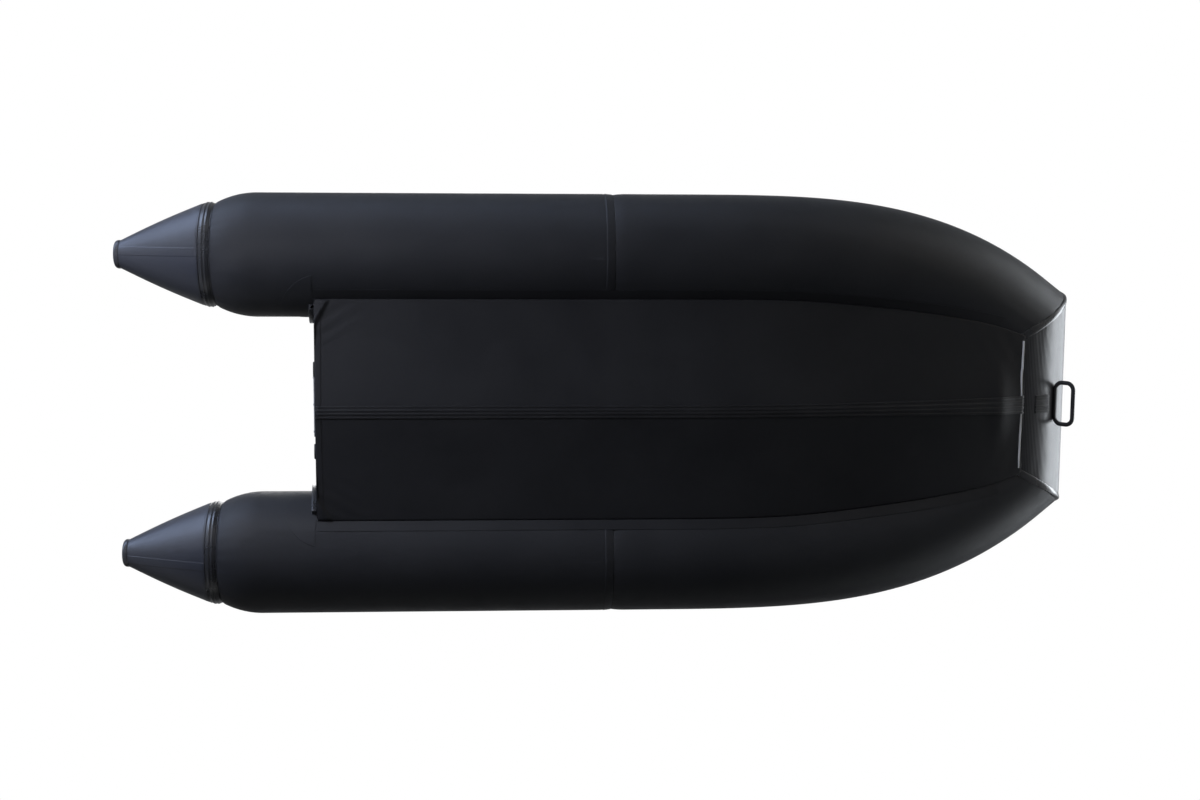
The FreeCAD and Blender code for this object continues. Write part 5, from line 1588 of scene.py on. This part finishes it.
@dataclass
class Stage:
    """Camera, soft lamps, pale floor and white surroundings."""

    camera_place: Triple = (-0.39, -0.8140, -6.1178)
    camera_aim: Triple = (-0.02184, -0.01937, 0.2)
    camera_roll: float = 0.30
    focal_pixels: float = 1703.95
    frame_width: int = 1200
    sensor_width: float = 36.0
    camera_reach: float = 60.0
    floor_half: float = 60.0
    floor_grey: float = 0.62
    floor_fade: Pair = (3.0, 8.0)
    floor_glow: float = 0.60
    ground_level: float = 0.01
    ground_tint: Triple = (0.85, 0.92, 1.0)
    sky_rise: Pair = (0.35, 0.85)
    sky_level: float = 0.30
    sky_tint: Triple = (0.95, 0.97, 1.0)
    windows: list[Window] = field(default_factory=lambda: [
        Window((1.0, 0.05, 0.0), (0.62, 0.80), (-0.02, 0.06), (-0.82, -0.68), 1.7, (0.90, 0.95, 1.0)),
        Window((1.0, 0.05, 0.0), (0.78, 0.88), (0.13, 0.27), (-0.60, -0.46), 9.0, (0.90, 0.95, 1.0)),
        Window((-0.68, -0.73, 0.0), (0.73, 0.89), (-0.50, -0.30), (-0.50, -0.24), 4.3, (0.57, 0.70, 1.0)),
    ])
    lamps: list[Lamp] = field(default_factory=lambda: [
        Lamp("aft_window_low", (-3.9, -3.4, -2.4), (-1.0, 0.0, 0.2), 2.4, 2.0, 68.0, (0.84, 0.84, 1.0)),
        Lamp("aft_window_side", (-3.6, -4.2, -0.9), (-0.8, 0.0, 0.2), 3.2, 1.2, 49.0, (0.70, 0.84, 1.0)),
        Lamp("aft_window_level", (-5.0, -1.6, -0.9), (-1.5, 0.0, 0.2), 2.0, 1.2, 42.0, (0.45, 0.58, 1.0)),
        Lamp("bow_low_light", (4.6, -0.8, -2.6), (1.4, 0.0, 0.3), 2.2, 1.6, 19.0, (0.75, 0.84, 1.0)),
        Lamp("stern_light", (-2.3, -1.4, -1.25), (-1.5, -0.4, 0.2), 1.0, 0.8, 31.0, (0.84, 0.87, 1.0)),
        Lamp("bow_side_light", (4.2, -2.6, -0.9), (1.5, 0.0, 0.4), 2.0, 1.3, 22.0, (1.0, 0.85, 0.60)),
        Lamp("ground_glow", (-0.4, -0.4, -5.5), (0.0, 0.0, 0.0), 5.0, 3.0, 29.0),
        Lamp("port_light", (0.0, 5.4, -1.0), (0.0, 0.0, 0.2), 5.0, 1.4, 3.5),
        Lamp("overhead", (0.0, -0.3, 5.2), (0.0, 0.0, 0.3), 4.5, 3.0, 110.0),
    ])

    def camera(self) -> None:
        """Camera at the photograph's place and angle, under the boat."""
        data = bpy.data.cameras.new("photograph_view")
        data.sensor_width = self.sensor_width
        data.lens = self.focal_pixels / self.frame_width * self.sensor_width
        data.clip_end = self.camera_reach
        made = linked("photograph_view", data)
        place = Vector(self.camera_place)
        forward = (Vector(self.camera_aim) - place).normalized()
        right = forward.cross(Vector((0.0, -1.0, 0.0))).normalized()
        up = right.cross(forward)
        turn = math.radians(self.camera_roll)
        axes = Matrix((right * math.cos(turn) + up * math.sin(turn),
                       up * math.cos(turn) - right * math.sin(turn), -forward)).transposed()
        made.matrix_world = Matrix.Translation(place) @ axes.to_4x4()
        bpy.context.scene.camera = made

    def floor(self) -> None:
        """Pale floor that shows from above, runs out to white, and lets the view from below through."""
        sheet = MaterialSheet("stage_floor_pale")
        path = sheet.add("ShaderNodeLightPath").outputs
        grey = sheet.add("ShaderNodeBsdfPrincipled", {
            "Base Color": (*[self.floor_grey] * 3, 1.0), "Roughness": 0.9, "Specular IOR Level": 0.1})
        lift = sheet.ranged(path["Is Camera Ray"], 0.0, self.floor_glow, 0.0, 1.0)
        glow = sheet.add("ShaderNodeEmission", {"Strength": lift})
        near = sheet.add("ShaderNodeAddShader", {0: grey.outputs["BSDF"], 1: glow.outputs["Emission"]})
        where = sheet.add("ShaderNodeTexCoord").outputs["Object"]
        distance = sheet.add("ShaderNodeVectorMath", {0: where}, operation="LENGTH").outputs["Value"]
        white = sheet.add("ShaderNodeEmission").outputs["Emission"]
        fade = sheet.ranged(distance, 0.0, 1.0, *self.floor_fade)
        pale = sheet.mixed(fade, near.outputs["Shader"], white)
        seen = sheet.combined(path["Is Camera Ray"], path["Is Glossy Ray"], "ADD")
        seen = sheet.combined(seen, path["Is Transmission Ray"], "ADD")
        back = sheet.add("ShaderNodeNewGeometry").outputs["Backfacing"]
        shown = sheet.combined(seen, sheet.ranged(back, 1.0, 0.0, 0.0, 1.0), "MULTIPLY")
        clear = sheet.add("ShaderNodeBsdfTransparent").outputs["BSDF"]
        mesh = bpy.data.meshes.new("stage_floor")
        half = self.floor_half
        corner_places = [(-half, -half, 0.0), (half, -half, 0.0), (half, half, 0.0), (-half, half, 0.0)]
        mesh.from_pydata(corner_places, [], [(0, 1, 2, 3)])
        mesh.materials.append(sheet.close(sheet.mixed(shown, clear, pale)))
        linked("stage_floor", mesh)

    def surroundings(self) -> None:
        """White to the eye, with a soft sky overhead and, for the gloss, bright windows ahead and aft."""
        world = bpy.data.worlds.new("surroundings")
        bpy.context.scene.world = world
        world.use_nodes = True
        sheet = ShadeSheet(world.node_tree)
        path = sheet.add("ShaderNodeLightPath").outputs
        light = sheet.mixed(sheet.stepped((0.0, 0.0, 1.0), self.sky_rise),
                            sheet.glow(self.ground_tint, self.ground_level),
                            sheet.glow(self.sky_tint, self.sky_level))
        for window in self.windows:
            inside = path["Is Glossy Ray"]
            for direction, rise in ((window.facing, window.edge), ((0.0, 0.0, 1.0), window.foot),
                                    ((0.0, 0.0, -1.0), window.head)):
                inside = sheet.combined(inside, sheet.stepped(direction, rise), "MULTIPLY")
            light = sheet.mixed(inside, light, sheet.glow(window.tint, window.level))
        white = sheet.glow((1.0, 1.0, 1.0), 1.0)
        sheet.add("ShaderNodeOutputWorld", {"Surface": sheet.mixed(path["Is Camera Ray"], light, white)})

    def build(self) -> None:
        """Set up the whole stage."""
        self.camera()
        self.floor()
        self.surroundings()
        for lamp in self.lamps:
            lamp.build()
        bpy.context.scene.view_settings.view_transform = "Standard"


def main() -> None:
    """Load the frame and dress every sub-assembly."""
    logging.basicConfig(level=logging.INFO, format="%(name)s: %(message)s")
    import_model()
    Stage().build()
    for side in Side:
        SternCone(side).build()
        SideTube(side).build()
    for assembly in (BowTube(), SoftBottom(), Transom(), Floor(), Fittings()):
        assembly.build()


if __name__ == "__main__":
    main()
